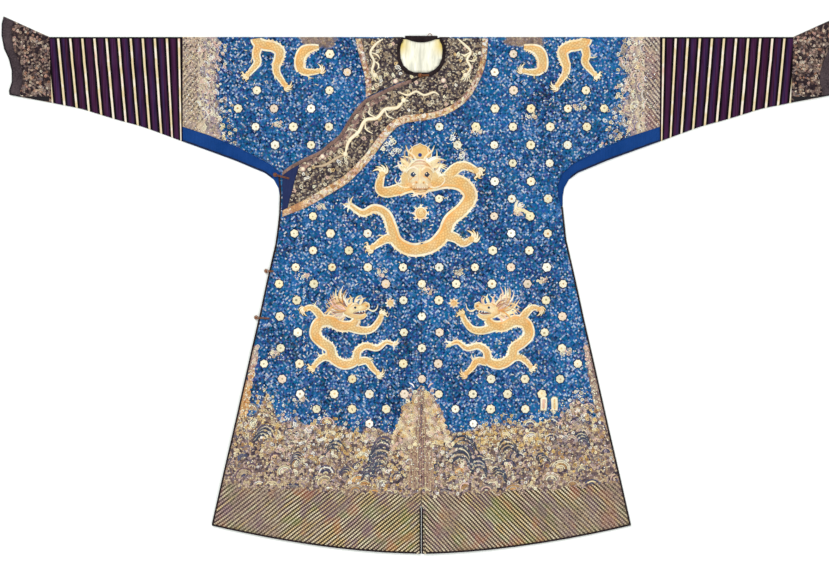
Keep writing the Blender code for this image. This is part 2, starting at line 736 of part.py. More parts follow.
def build_collar():
    lines = COLLAR_LINES

    def whole_edge(t):
        return facing_stations(t) + patch_stations(t)

    def facing_low(k):
        return edging_share(k, 1.2 * GAP)

    def facing_high(k):
        return trim_share(lines, k) - 1.2 * GAP / collar_width(lines, k)

    def trim_low(k):
        return trim_share(lines, k)

    collar_piece("collar_facing", lines, facing_stations, facing_low, facing_high, 3, on_front, "collar_silk")
    collar_piece("collar_end_patch", lines, patch_stations, facing_low, facing_high, 3, on_front, "navy_silk")
    collar_piece(
        "collar_trim", lines, lambda t: whole_edge(1), trim_low, lambda k: 1.0, 1, on_front, "gold_trim"
    )
    edging = [k for k in whole_edge(0) if k > COLLAR_TURN + 0.35]
    collar_piece(
        "overlap_edging", lines, lambda t: edging, lambda k: 0.0, edging_share, 1, on_front, "dark_border"
    )
    right = RIGHT_COLLAR_LINES

    def right_stations(t):
        return along(0.0, len(RIGHT_COLLAR) - 1.0, 10)

    def right_high(k):
        return trim_share(right, k) - 1.2 * GAP / collar_width(right, k)

    collar_piece(
        "right_collar_facing", right, right_stations, lambda k: 0.0, right_high,
        3, on_inner, "collar_silk", side=-1,
    )
    collar_piece(
        "right_collar_trim", right, right_stations, lambda k: trim_share(right, k), lambda k: 1.0,
        1, on_inner, "gold_trim", side=-1,
    )


def neck_ring(lines, stations, side):
    """Inner and outer edge of the neck binding, worked out from the facing's edge beside it."""
    facing = [collar_point(lines, k, 0) for k in stations]
    outer, inner = [], []
    for i, point in enumerate(facing):
        a, b = facing[max(i - 1, 0)], facing[min(i + 1, len(facing) - 1)]
        run = (b[0] - a[0], b[1] - a[1])
        size = math.hypot(*run)
        toward = (-abs(run[1]) / size, run[0] / size)
        outer.append((point[0] + GAP * toward[0], point[1] + GAP * toward[1]))
        wide = GAP + NECK_BINDING
        inner.append((point[0] + wide * toward[0], point[1] + wide * toward[1]))
    return [(side * x, d) for x, d in inner], [(side * x, d) for x, d in outer]


def build_neck():
    for label, side, base, lines, end in (
        ("left", 1, on_front, COLLAR_LINES, COLLAR_TURN),
        ("right", -1, on_inner, RIGHT_COLLAR_LINES, len(RIGHT_COLLAR) - 1),
    ):
        inner, outer = neck_ring(lines, along(0.0, end, 2 * end), side)
        bar(f"{label}_neck_binding", inner, outer, base, BINDING_THICK, "binding")
    rows = []
    for drop in (LINING_TOP,) + BODY_DROPS[:7]:
        half = neck_half(drop)
        rows.append([(half * s, drop) for s in (-1.0, -0.5, 0.0, 0.5, 1.0)])
    sheet("neck_lining", rows, lambda x, d: LAYER, FACING, "lining")
    xs = along(-BACK_BAND_HALF, BACK_BAND_HALF, 10)
    top = [(x, BACK_BAND_TOP) for x in xs]
    foot = [(x, BACK_BAND_FOOT + BACK_BAND_SAG * (1 - (x / BACK_BAND_HALF) ** 2)) for x in xs]
    bar("back_neck_band", top, foot, lambda x, d: BACK_BAND_BASE, BINDING_THICK, "binding")


# ---- Edges -------------------------------------------------------------------------------------
def bound_edges(rows, mitre):
    """Inner and outer edge of the binding that follows a panel's slit and hem, and with a mitre its side."""
    wide = BINDING_WIDTH + GAP
    hem = rows[-1]
    slit = [row[0] for row in rows[:-1] if row[0][1] > SLIT_TOP]
    inner = [(x - GAP, d) for x, d in slit] + [(hem[0][0] - GAP, hem[0][1] + GAP)]
    outer = [(x - wide, d) for x, d in slit] + [(hem[0][0] - wide, hem[0][1] + wide)]
    inner += [(x, d + GAP) for x, d in hem[1:-1]]
    outer += [(x, d + wide) for x, d in hem[1:-1]]
    x, corner = hem[-1][0], hem[-1][0] + wide
    if not mitre:
        inner += [(x, hem[-1][1] + GAP), (corner, cloth_hem(corner) + GAP)]
        outer += [(x, hem[-1][1] + wide), (corner, hem_drop(corner))]
        return inner, outer
    inner.append((x + GAP, cloth_hem(x + GAP) + GAP))
    outer.append((corner, hem_drop(corner)))
    sides = [row[-1] for row in reversed(rows[:-1])]
    return inner + [(x + GAP, d) for x, d in sides], outer + [(x + wide, d) for x, d in sides]


def piped_edges(rows):
    """Inner and outer edge of the piping down the side seam."""
    sides = [row[-1] for row in rows if row[-1][1] > SKIRT_TOP - GAP]
    inner = [(x + GAP, d) for x, d in sides]
    outer = [(x + GAP + BINDING_WIDTH, d) for x, d in sides]
    outer[-1] = (outer[-1][0], cloth_hem(outer[-1][0]))
    return inner, outer


def mirrored(edges, side):
    return [[(side * x, d) for x, d in edge] for edge in edges]


def build_edges():
    back = back_rows()
    for label, side in (("left", 1), ("right", -1)):
        piping = mirrored(piped_edges(back), side)
        bar(f"{label}_side_piping", *piping, lambda x, d: 0.0, LAYER + CLOTH, "binding")
        hem = mirrored(bound_edges(back, False), side)
        bar(f"{label}_back_hem_binding", *hem, lambda x, d: 0.0, CLOTH, "binding")
    front = bound_edges(left_front_rows(), False)
    bar("left_front_hem_binding", *front, front_base, BINDING_THICK, "binding")
    over = mirrored(bound_edges(overlap_rows(), True), -1)
    bar("overlap_binding", *over, front_base, BINDING_THICK, "binding")


# ---- Loops and toggles ---------------------------------------------------------------------------
def knot(name, center, radius=KNOT):
    work = bmesh.new()
    bmesh.ops.create_uvsphere(work, u_segments=10, v_segments=6, radius=radius)
    mesh = bpy.data.meshes.new(name)
    work.to_mesh(mesh)
    work.free()
    mesh.materials.append(material("toggle_cord"))
    mesh.shade_smooth()
    made = bpy.data.objects.new(name, mesh)
    made.location = center
    bpy.context.scene.collection.objects.link(made)
    return made


def hairpin(name, center, angle, strap, heights):
    """A loop of cord round a knot, its two legs running back along a strap."""
    wide = KNOT + GAP + LOOP_CORD
    apart = LEGS_APART * LOOP_CORD
    lean = math.radians(angle)
    ahead, across = (math.cos(lean), math.sin(lean)), (-math.sin(lean), math.cos(lean))
    leg = [(a, -apart) for a in along(-strap, -wide * LOOP_REACH, 5)]
    round_part = [(wide * math.cos(t), wide * math.sin(t)) for t in along(-LOOP_OPENS, LOOP_OPENS, 10)]
    plan = leg + round_part + [(a, -b) for a, b in reversed(leg)]
    path = []
    for a, b in plan:
        x, y = center[0] + a * ahead[0] + b * across[0], center[1] + a * ahead[1] + b * across[1]
        path.append((x, y, heights(x, y)))
    return cord(name, path, [LOOP_CORD] * len(path), "toggle_cord")


def build_side_toggle(toggle):
    middle = toggle.rests_at + GAP + KNOT
    high = toggle.over + GAP + LOOP_CORD

    def height(x, y):
        """On the cloth, then down past the robe's edge to the knot's own height."""
        past = -x - side_half(SHOULDER_Y - y)
        return high + (middle - high) * ease((past - LOOP_PASSES) / LOOP_FALL)

    center = (-side_half(toggle.drop) - toggle.beyond, SHOULDER_Y - toggle.drop, middle)
    knot(f"toggle_{toggle.name}", center)
    hairpin(f"loop_{toggle.name}", center, toggle.angle, toggle.strap, height)


def build_toggles():
    for toggle in TOGGLES:
        build_side_toggle(toggle)
    top = 3 * LAYER + BINDING_THICK + 2 * GAP
    center = (NECK_TOGGLE_X, SHOULDER_Y - NECK_DEPTH - NECK_TOGGLE_BELOW, top + KNOT)
    knot("toggle_neck", center)
    hairpin("loop_neck", center, 180.0, NECK_STRAP, lambda x, y: top + LOOP_CORD)
    z = BACK_BAND_BASE + BINDING_THICK / 2
    arc = [
        (
            BACK_LOOP_X + BACK_LOOP_RADIUS * math.cos(t),
            SHOULDER_Y - BACK_BAND_TOP + GAP + BACK_LOOP_RADIUS * math.sin(t),
            z,
        )
        for t in along(math.pi, 0.0, 8)
    ]
    cord("back_neck_loop", arc, [LOOP_CORD] * len(arc), "toggle_cord")


def main():
    for found in list(bpy.data.objects):
        bpy.data.objects.remove(found, do_unlink=True)
    build_body()
    build_overlap()
    build_sleeves()
    build_collar()
    build_neck()
    build_edges()
    build_toggles()


main()
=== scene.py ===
"""Looks of a Manchu court dragon robe laid flat, front up: creased silk, couched threads and satin stitch.

Metres, in the frame's axes: +X is the wearer's left, +Y runs from hem to shoulder, +Z is up. A place on
the robe is (x, drop), where drop is the distance below the shoulder fold. Motifs are drawn in millimetres
as (u, v), v up, and a spot sets them on the robe. They are generic designs of the kind that such robes carry.
"""

import json
import math
import random
from collections import namedtuple

import bmesh
import bpy
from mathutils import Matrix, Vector, noise
from mathutils.bvhtree import BVHTree


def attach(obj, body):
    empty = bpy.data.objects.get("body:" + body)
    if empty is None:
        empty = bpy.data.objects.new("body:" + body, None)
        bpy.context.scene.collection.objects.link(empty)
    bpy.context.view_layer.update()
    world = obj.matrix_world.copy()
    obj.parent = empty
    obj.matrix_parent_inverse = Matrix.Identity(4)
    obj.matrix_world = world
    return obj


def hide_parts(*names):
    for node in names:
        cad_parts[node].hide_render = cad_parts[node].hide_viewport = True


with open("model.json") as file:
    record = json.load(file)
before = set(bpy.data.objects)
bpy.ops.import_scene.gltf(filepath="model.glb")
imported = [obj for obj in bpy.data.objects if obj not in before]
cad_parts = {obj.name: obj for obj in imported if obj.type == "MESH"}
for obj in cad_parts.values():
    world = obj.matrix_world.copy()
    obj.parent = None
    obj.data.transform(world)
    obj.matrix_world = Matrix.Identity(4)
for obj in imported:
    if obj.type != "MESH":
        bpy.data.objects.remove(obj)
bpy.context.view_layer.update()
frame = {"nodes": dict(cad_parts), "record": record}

chance = random.Random(1736)
vary = chance.uniform

# ---- Sizes shared with the CAD model -------------------------------------------------------------
SHOULDER_Y = 0.673
CLOTH, LAYER = 0.0014, 0.0017
PLEAT_FIRST, PLEAT_PITCH = 0.6577, 0.03279
HEM_BEND = 1.75   # power of the curve of the hem and of its stripes
STRIPE_TOP, STRIPE_RISE = 1.235, 0.032
SIDES = (
    (0.40, 0.3855), (0.46, 0.3838), (0.56, 0.395), (0.715, 0.43), (0.96, 0.486), (1.2, 0.541),
    (1.402, 0.586),
)
SLANTS = ((0.6475, 0.0), (0.6577, 0.022), (0.70, 0.062), (0.80, 0.085), (1.009, 0.097))


def between(table, at):
    """Linear interpolation in a table of (at, value)."""
    for (a, p), (b, q) in zip(table, table[1:]):
        if at <= b:
            return p + (q - p) * max(at - a, 0.0) / (b - a)
    return table[-1][1]


def side_half(drop):
    return between(SIDES, drop)


def ease(t):
    t = min(max(t, 0.0), 1.0)
    return t * t * (3 - 2 * t)


def rgb(r, g, b):
    """Linear colour from eight-bit values as they look."""
    return tuple(c / 3294.6 if c <= 10 else ((c / 255 + 0.055) / 1.055) ** 2.4 for c in (r, g, b))


def shade(color, share):
    return tuple(min(c * share, 1.0) for c in color)


GOLD, PALE_GOLD, ORANGE = rgb(238, 205, 145), rgb(248, 232, 186), rgb(236, 176, 104)
CREAM, WHITE, PINK = rgb(252, 243, 214), rgb(255, 253, 244), rgb(240, 205, 190)
OCHRE, BEIGE, INDIGO = rgb(196, 150, 92), rgb(205, 184, 156), rgb(62, 68, 104)
NAVY, GREY = rgb(8, 28, 70), rgb(150, 142, 140)
DARK, PLUM, TEAL = rgb(44, 34, 42), rgb(104, 78, 98), rgb(74, 98, 104)


# ---- Shader expressions --------------------------------------------------------------------------
class Graph:
    """Writes a material's nodes as expressions."""

    def __init__(self, name, rough=0.5, sheen=0.02, specular=0.05):
        self.made = bpy.data.materials.new(name)
        self.made.use_nodes = True
        self.tree = self.made.node_tree
        self.shader = self.tree.nodes["Principled BSDF"]
        self.shader.inputs["Roughness"].default_value = rough
        self.shader.inputs["Sheen Weight"].default_value = sheen
        self.shader.inputs["Specular IOR Level"].default_value = specular
        self.place = self.node("TexCoord", output=3)

    def node(self, kind, output=0, inputs=(), **settings):
        made = self.tree.nodes.new("ShaderNode" + kind)
        for key, value in settings.items():
            setattr(made, key, value)
        for key, value in dict(inputs).items():
            if isinstance(value, bpy.types.NodeSocket):
                self.tree.links.new(value, made.inputs[key])
            else:
                made.inputs[key].default_value = value
        return made.outputs[output]

    def do(self, operation, a, b=0.0):
        return self.node("Math", inputs={0: a, 1: b, 2: 0.0}, operation=operation)

    def times(self, a, b):
        return self.do("MULTIPLY", a, b)

    def plus(self, a, b):
        return self.do("ADD", a, b)

    def minus(self, a, b):
        return self.do("SUBTRACT", a, b)

    def size(self, a):
        return self.do("ABSOLUTE", a)

    def vector(self, operation, a, b):
        return self.node("VectorMath", inputs={0: a, 1: b}, operation=operation)

    def parts(self, vector):
        made = self.tree.nodes.new("ShaderNodeSeparateXYZ")
        self.tree.links.new(vector, made.inputs[0])
        return made.outputs

    def scaled(self, scale, turn=0.0):
        """Object coordinates, turned about Z and scaled."""
        scale = scale if isinstance(scale, tuple) else (scale,) * 3
        settings = {0: self.place, 2: (0, 0, math.radians(turn)), 3: scale}
        return self.node("Mapping", inputs=settings, vector_type="POINT")

    def noise(self, scale, detail=2.0, rough=0.5, place=None):
        return self.node("TexNoise", inputs={
            "Vector": place or self.place, "Scale": scale, "Detail": detail, "Roughness": rough,
        })

    def random(self, vector):
        return self.node("TexWhiteNoise", inputs={0: vector}, noise_dimensions="3D")

    def step(self, value, edge, soft):
        """0 below the edge, 1 above it, over a soft width."""
        return self.node("MapRange", inputs={0: value, 1: edge - soft, 2: edge + soft, 3: 0.0, 4: 1.0})

    def mix(self, share, a, b, blend="MIX"):
        wide = [(*c, 1.0) if isinstance(c, tuple) and len(c) == 3 else c for c in (a, b)]
        return self.node(
            "Mix", output=2, inputs={0: share, 6: wide[0], 7: wide[1]}, data_type="RGBA", blend_type=blend
        )

    def ramp(self, value, stops):
        made = self.tree.nodes.new("ShaderNodeValToRGB")
        self.tree.links.new(value, made.inputs[0])
        marks = made.color_ramp.elements
        while len(marks) < len(stops):
            marks.new(0.5)
        for mark, (at, color) in zip(marks, stops):
            mark.position = at
            mark.color = (*color, 1.0)
        return made.outputs[0]

    def attribute(self, name, output="Fac"):
        made = self.tree.nodes.new("ShaderNodeAttribute")
        made.attribute_name = name
        return made.outputs[output]

    def finish(self, color, height=None, depth=0.0003):
        self.tree.links.new(color, self.shader.inputs["Base Color"])
        if height is not None:
            bump = self.node("Bump", inputs={"Height": height, "Distance": depth, "Strength": 0.8})
            self.tree.links.new(bump, self.shader.inputs["Normal"])
        return self.made


def weave(g, pitch=0.0011):
    """Height of a fine plain weave."""
    x, y, _ = g.parts(g.scaled(2 * math.pi / pitch))
    return g.times(g.do("SINE", x), g.do("SINE", y))


def fret(g, pitch=0.0046):
    """Dark blue satin under a worn fret of couched thread: its colour, and the height of the threads."""
    grid = g.scaled(1 / pitch, 45)
    cell = g.vector("FLOOR", grid, (0, 0, 0))
    u, v, _ = g.parts(g.vector("FRACTION", grid, (0, 0, 0)))
    cu, cv = g.size(g.minus(u, 0.5)), g.size(g.minus(v, 0.5))
    i, j, _ = g.parts(cell)
    odd = g.do("PINGPONG", g.plus(i, j), 1.0)
    lengthwise = g.node("Mix", inputs={0: odd, 2: cu, 3: cv})
    across = g.node("Mix", inputs={0: odd, 2: cv, 3: cu})
    bars = g.size(g.minus(across, 0.25))
    bar = g.times(g.step(bars, 0.17, -0.03), g.step(lengthwise, 0.44, -0.04))
    wear = g.noise(13.0, 3.0, 0.6)
    shine = g.step(g.plus(g.random(cell), g.times(g.minus(wear, 0.5), 1.2)), 0.56, 0.22)
    thread = g.ramp(g.random(g.vector("ADD", cell, (31.7, 5.2, 0))), [
        (0.0, rgb(16, 92, 146)), (0.36, rgb(44, 110, 176)), (0.60, rgb(104, 150, 212)),
        (0.84, rgb(212, 226, 248)), (0.93, rgb(244, 238, 232)), (1.0, rgb(124, 110, 188)),
    ])
    streak = g.noise(1.0, 3.0, 0.6, g.scaled((420, 16, 1)))
    value = g.plus(g.times(g.noise(7.0, 4.0, 0.6), 0.7), g.times(streak, 0.15))
    value = g.plus(value, g.times(g.random(g.vector("ADD", cell, (3.3, 9.1, 0))), 0.24))
    ground = g.ramp(value, [
        (0.34, rgb(0, 10, 30)), (0.50, rgb(1, 34, 72)), (0.60, rgb(2, 68, 120)), (0.70, rgb(2, 100, 148)),
        (0.82, rgb(20, 82, 168)),
    ])
    hue = g.random(g.vector("ADD", cell, (7.9, 2.6, 0)))
    ground = g.mix(g.times(g.step(hue, 0.80, 0.04), 0.45), ground, rgb(58, 62, 150))
    ground = g.mix(g.times(g.step(hue, 0.20, -0.04), 0.45), ground, rgb(0, 112, 140))
    share = g.times(bar, g.plus(g.times(shine, 0.85), 0.08))
    return g.mix(share, ground, thread), g.times(bar, 0.7)


def stripes(g, away, y, across, up, pitch, widen, contrast=0.0):
    """Slanting bands of laid thread, light and dark by turns, wider towards the robe's sides."""
    run = g.plus(g.times(away, across), g.times(g.plus(y, 0.65), up))
    slant = g.times(run, g.minus(1 / pitch, g.times(away, widen)))
    slant = g.plus(slant, g.times(g.noise(5.0, 2.0), 1.7))
    number = g.do("FLOOR", slant)
    phase = g.size(g.minus(g.do("FRACT", slant), 0.5))
    zone = g.noise(9.0, 2.0)
    light = g.ramp(g.plus(g.times(g.random(g.node("CombineXYZ", inputs={0: number})), 0.4), zone), [
        (0.42, rgb(176, 140, 140)), (0.55, rgb(214, 190, 156)), (0.68, rgb(255, 244, 206)),
        (0.80, rgb(242, 206, 134)), (0.95, rgb(204, 196, 140)),
    ])
    dark = g.ramp(zone, [(0.35, rgb(44, 28, 44)), (0.50, rgb(8, 3, 3)), (0.65, rgb(24, 15, 2))])
    light = g.mix(g.times(g.noise(240.0, 2.0), 0.55), light, shade(rgb(160, 130, 110), 0.8))
    worn = g.step(g.plus(g.noise(6.0, 3.0, 0.6), g.times(g.do("POWER", away, 2.0), 0.5)), 0.62, 0.12)
    dull = g.mix(g.step(g.noise(230.0, 2.0, 0.7), 0.5, 0.10), rgb(62, 46, 56), rgb(172, 146, 130))
    along = g.minus(g.times(y, across), g.times(away, up))
    along = g.plus(g.do("DIVIDE", along, 0.0056), g.times(number, 0.5))
    couched = g.size(g.minus(g.do("FRACT", along), 0.5))
    light = g.mix(g.times(g.step(couched, 0.33, 0.10), 0.60), light, rgb(112, 84, 70))
    light = g.mix(g.times(g.step(couched, 0.16, -0.08), 0.4), light, rgb(255, 246, 214))
    dark = g.mix(g.times(g.step(couched, 0.14, -0.08), 0.30), dark, rgb(190, 160, 120))
    banded = g.mix(g.step(phase, 0.235, 0.05), light, dark)
    for scale, edge, share, tint in (
        ((13, 17, 1), 0.57, 0.22, rgb(104, 132, 48)), ((19, 11, 1), 0.57, 0.34, rgb(112, 78, 108)),
        ((15, 12, 1), 0.60, 0.28, rgb(190, 108, 62)),
    ):
        patches = g.step(g.noise(1.0, 3.0, 0.6, g.scaled(scale)), edge, 0.05)
        banded = g.mix(g.times(patches, share), banded, tint)
    grain = g.step(g.noise(330.0, 2.0, 0.7), 0.56, 0.05)
    banded = g.mix(g.times(grain, 0.35), banded, rgb(26, 18, 24))
    return g.mix(g.times(worn, 0.62 - contrast), banded, dull), g.step(phase, 0.27, -0.15)


def curls(g, cell, tones, line, dense=0.5, edge_share=0.06):
    """Small coils of couched thread packed over a dark ground: their colour and height."""
    wander = g.node("TexNoise", output=1, inputs={"Vector": g.place, "Scale": 90.0, "Detail": 1.0})
    bent = g.vector("ADD", g.place, g.vector("MULTIPLY", wander, (0.006, 0.006, 0)))
    tile = dict(inputs={"Vector": bent, "Scale": 1 / cell}, voronoi_dimensions="2D")
    r, _, _ = g.parts(g.node("TexVoronoi", output=1, feature="F1", **tile))
    near = g.node("TexVoronoi", output=0, feature="F1", **tile)
    edge = g.node("TexVoronoi", output=0, feature="DISTANCE_TO_EDGE", **tile)
    coil = g.do("SINE", g.times(near, 19.0))
    ground = g.mix(g.noise(30.0, 2.0), shade(tones[0][1], 0.6), tones[0][1])
    color = g.mix(g.times(g.step(coil, -0.1, 0.5), dense), g.ramp(r, tones), ground)
    return g.mix(g.step(edge, edge_share, -0.03), color, line), g.times(coil, -0.5)


HEM_STRIPES = (0.64, 0.768, 0.0083, 14.0)   # share of x and of y, pitch at the middle, widening
SEA_CURLS = [
    (0.0, rgb(62, 54, 66)), (0.20, rgb(132, 110, 106)), (0.42, rgb(196, 160, 122)),
    (0.62, rgb(236, 214, 172)), (0.82, rgb(216, 184, 172)), (1.0, rgb(110, 104, 122)),
]


SEA_EDGE, SPIRE_X = 1.070, 0.421                # drop of the sea's edge, and where a crest rises above it
# where along x the sleeve's pale end and its stripes begin, and the drop down to which both reach
SLEEVE_END, SLEEVE_STRIPES, SLEEVE_FOOT = 0.556, 0.606, 0.34
BAND_FOOT, BAND_MIDDLE, BAND_HALF = 0.027, 0.287, 0.050     # the shoulder band
NECK_DROP, NECK_RADIUS = 0.045, 0.088           # the silk within this of the neck's middle is dark


def blue_silk():
    """The robe's embroidered silk: blue fret, sea ground, hem stripes, sleeve ends and shoulder band."""
    g = Graph("blue_silk_fret", rough=0.5)
    x, y, _ = g.parts(g.place)
    away = g.size(x)
    drop = g.minus(SHOULDER_Y, y)
    jag = g.minus(g.noise(16.0, 4.0, 0.65), 0.5)
    fall = g.do("POWER", g.do("DIVIDE", away, 0.55), HEM_BEND)
    low = g.plus(drop, g.plus(g.times(fall, 0.055), g.times(jag, 0.09)))
    spire = g.minus(1.0, g.times(g.size(g.minus(away, SPIRE_X)), 24.0))
    sea = g.step(g.plus(low, g.times(g.do("MAXIMUM", spire, 0.0), 0.062)), SEA_EDGE, 0.004)
    ragged = g.times(g.size(jag), -0.14)
    band = g.step(g.plus(g.plus(drop, ragged), g.times(fall, STRIPE_RISE)), STRIPE_TOP, 0.0012)
    end = g.times(
        g.step(g.plus(away, g.times(jag, 0.10)), SLEEVE_END, 0.004), g.step(drop, SLEEVE_FOOT, -0.01)
    )
    seam = g.times(g.step(away, SLEEVE_STRIPES, 0.0012), end)
    top = g.step(g.plus(drop, g.times(jag, 0.06)), BAND_FOOT, -0.004)
    middle = g.size(g.minus(g.plus(away, g.times(jag, 0.1)), BAND_MIDDLE))
    top = g.times(top, g.step(middle, BAND_HALF, -0.004))
    color, high = fret(g)
    packed, coil = curls(g, 0.0058, SEA_CURLS, rgb(80, 66, 70))
    steep = g.times(g.step(x, 0.0, 0.0005), 0.075)   # the two halves were worked apart
    across, up, pitch, widen = HEM_STRIPES
    slanted, laid = stripes(g, away, y, g.plus(steep, across), g.minus(up, steep), pitch, widen)
    narrow, thin = stripes(g, away, y, 0.76, 0.65, 0.0094, 0.0, 0.5)
    fine, _ = curls(g, 0.0052, SEA_CURLS, rgb(96, 76, 74), 0.3)
    pale = g.mix(0.30, fine, rgb(226, 206, 190))
    color = g.mix(g.times(top, 0.85), color, g.mix(0.5, packed, rgb(140, 112, 84)))
    color = g.mix(sea, color, packed)
    color = g.mix(end, color, pale)
    broken = g.plus(0.04, g.times(g.step(g.noise(26.0, 3.0, 0.7), 0.52, 0.08), 0.45))
    broken = g.plus(broken, g.times(g.step(x, 0.0, -0.01), 0.25))
    creamy = g.times(g.step(g.size(g.minus(away, 0.594)), 0.013, -0.006), end)
    color = g.mix(g.times(creamy, 0.32), color, rgb(232, 216, 182))
    mauve = g.times(g.step(away, 0.585, -0.006), g.step(g.noise(24.0, 3.0, 0.6), 0.48, 0.05))
    color = g.mix(g.times(g.times(mauve, end), 0.42), color, rgb(136, 118, 146))
    narrow = g.mix(g.times(g.step(x, 0.0, 0.001), 0.16), narrow, rgb(172, 152, 182))
    color = g.mix(seam, color, g.mix(broken, narrow, pale))
    gap = g.minus(g.plus(0.26655, g.times(drop, 0.2286)), away)
    bank = g.minus(g.plus(gap, g.times(jag, 0.03)), g.times(g.minus(drop, 0.835), 0.05))
    bank = g.times(g.step(bank, 0.013, -0.003), g.step(drop, 0.838, 0.004))
    bank = g.times(bank, g.step(g.plus(drop, jag), 1.020, -0.02))
    warm = g.times(g.step(drop, 0.93, 0.03), g.step(x, 0.0, -0.01))
    tint = g.mix(warm, rgb(164, 132, 128), rgb(212, 156, 92))
    color = g.mix(bank, color, g.mix(g.plus(0.40, g.times(warm, 0.2)), fine, tint))
    color = g.mix(band, color, slanted)
    ring = g.do("SQRT", g.plus(g.times(x, x), g.do("POWER", g.minus(drop, NECK_DROP), 2.0)))
    color = g.mix(g.step(ring, NECK_RADIUS, -0.001), color, rgb(44, 34, 40))
    color = g.mix(g.times(g.step(away, 0.0012, -0.0006), 0.55), color, shade(NAVY, 0.8))
    height = g.node("Mix", inputs={0: g.do("MAXIMUM", sea, end), 2: high, 3: coil})
    height = g.node("Mix", inputs={0: band, 2: height, 3: laid})
    height = g.node("Mix", inputs={0: seam, 2: height, 3: thin})
    return g.finish(color, g.plus(height, g.times(weave(g), 0.12)), 0.0004)


def plain_silk(name, color, spread=0.22, rough=0.45):
    """Plain satin with warp streaks and soft fading."""
    g = Graph(name, rough=rough, specular=0.06)
    streak = g.noise(1.0, 4.0, 0.65, g.scaled((500, 24, 1)))
    patch = g.noise(14.0, 3.0)
    value = g.plus(g.times(streak, 0.5), g.times(patch, 0.5))
    dark = tuple(c * (1 - spread) for c in color)
    light = tuple(min(c * (1 + spread) + 0.01, 1) for c in color)
    return g.finish(g.ramp(value, [(0.3, dark), (0.7, light)]), weave(g), 0.0002)


def pleated_silk():
    """Purple and black bands between gold lines, from the pleat attribute, one unit for each pleat."""
    g = Graph("striped_silk_pleats", rough=0.45)
    pleat = g.attribute("pleat")
    share = g.do("FRACT", g.plus(pleat, 0.5))
    number = g.do("FLOOR", g.plus(pleat, 0.5))
    away = g.size(g.minus(share, 0.5))
    _, y, _ = g.parts(g.place)
    mottled = g.noise(1.0, 3.0, 0.6, g.scaled((30, 14, 1)))
    line = g.ramp(mottled, [
        (0.30, rgb(238, 222, 196)), (0.45, rgb(222, 200, 156)), (0.55, rgb(242, 230, 212)),
        (0.70, rgb(228, 190, 168)),
    ])
    streak = g.noise(1.0, 3.0, 0.7, g.scaled((330, 9, 1)))
    band = g.ramp(streak, [
        (0.30, rgb(12, 3, 10)), (0.46, rgb(42, 14, 40)), (0.58, rgb(64, 32, 66)), (0.74, rgb(44, 34, 64)),
    ])
    black = g.mix(g.step(away, 0.275, 0.075), rgb(3, 0, 2), band)
    tone = g.ramp(
        g.random(g.node("CombineXYZ", inputs={0: number})),
        [(0.2, rgb(54, 44, 96)), (0.5, rgb(88, 34, 84)), (0.8, rgb(80, 28, 46))],
    )
    black = g.mix(g.times(g.step(away, 0.32, 0.06), 0.26), black, tone)
    width = g.plus(0.072, g.times(g.noise(1.0, 2.0, 0.5, g.scaled((30, 12, 1))), 0.03))
    color = g.mix(g.step(g.minus(away, width), 0.0, -0.012), black, line)
    color = g.mix(g.step(y, SHOULDER_Y - 0.0045, 0.001), color, rgb(10, 4, 8))
    rib = g.do("SINE", g.times(y, 2 * math.pi / 0.0012))
    return g.finish(color, g.times(rib, 0.4), 0.0002)


def packed_silk(name, tones, cell, line, edge_share=0.06, dense=0.5, round_neck=None):
    """Dark silk packed with small curls of couched thread, faded to another colour round the neck."""
    g = Graph(name, rough=0.6)
    color, coil = curls(g, cell, tones, line, dense, edge_share)
    if round_neck:
        _, y, _ = g.parts(g.place)
        high = g.step(g.plus(y, g.times(g.noise(14.0), 0.05)), SHOULDER_Y - 0.150, 0.03)
        color = g.mix(high, color, g.mix(1.0, color, round_neck, "MULTIPLY"))
    return g.finish(color, g.plus(coil, g.times(weave(g, 0.0008), 0.15)), 0.0006)


def lining_silk():
    """Cream satin inside the neck, yellowed at its upper corners, with painted shade in the troughs of its
    folds and a painted shade greying the fold down its middle.
    """
    g = Graph("lining_silk", rough=0.4)
    x, y, _ = g.parts(g.place)
    away = g.size(x)
    folds = g.noise(1.0, 3.0, 0.6, g.scaled((90, 14, 1)))
    # darker where the fold bumps sink: painted shade in their troughs
    color = g.ramp(folds, [(0.35, rgb(214, 212, 196)), (0.5, rgb(242, 238, 218)), (0.65, rgb(250, 248, 236))])
    corner = g.times(g.step(away, 0.040, 0.014), g.step(y, SHOULDER_Y - 0.042, 0.016))
    color = g.mix(g.times(corner, 0.9), color, rgb(226, 198, 92))
    # a grey streak down the middle: painted shade of a fold
    color = g.mix(g.times(g.step(away, 0.010, -0.008), 0.25), color, rgb(196, 192, 176))
    return g.finish(color, g.plus(folds, g.times(weave(g), 0.2)), 0.0003)


def dark_cloth(name, color, light, slit=False):
    """Dark woven or cut cloth with a soft uneven nap, striped like the hem beside its slit."""
    g = Graph(name, rough=0.75)
    nap = g.noise(260.0, 3.0, 0.7)
    value = g.plus(g.times(nap, 0.6), g.times(g.noise(22.0, 2.0), 0.4))
    shown = g.ramp(value, [(0.32, color), (0.68, light)])
    if slit:
        x, y, _ = g.parts(g.place)
        away = g.size(x)
        edge = g.times(g.step(away, 0.0052, 0.0004), g.step(away, 0.014, -0.001))
        shown = g.mix(g.times(edge, g.step(y, -0.55, -0.01)), shown, stripes(g, away, y, *HEM_STRIPES)[0])
    return g.finish(shown, g.plus(nap, weave(g, 0.0014)), 0.0002)


STRAND_PITCH, COUCHING_PITCH = 0.75, 3.4     # millimetres
SCALE_WIDE, SCALE_LONG = 8.6, 6.4            # a dragon's scale, in millimetres


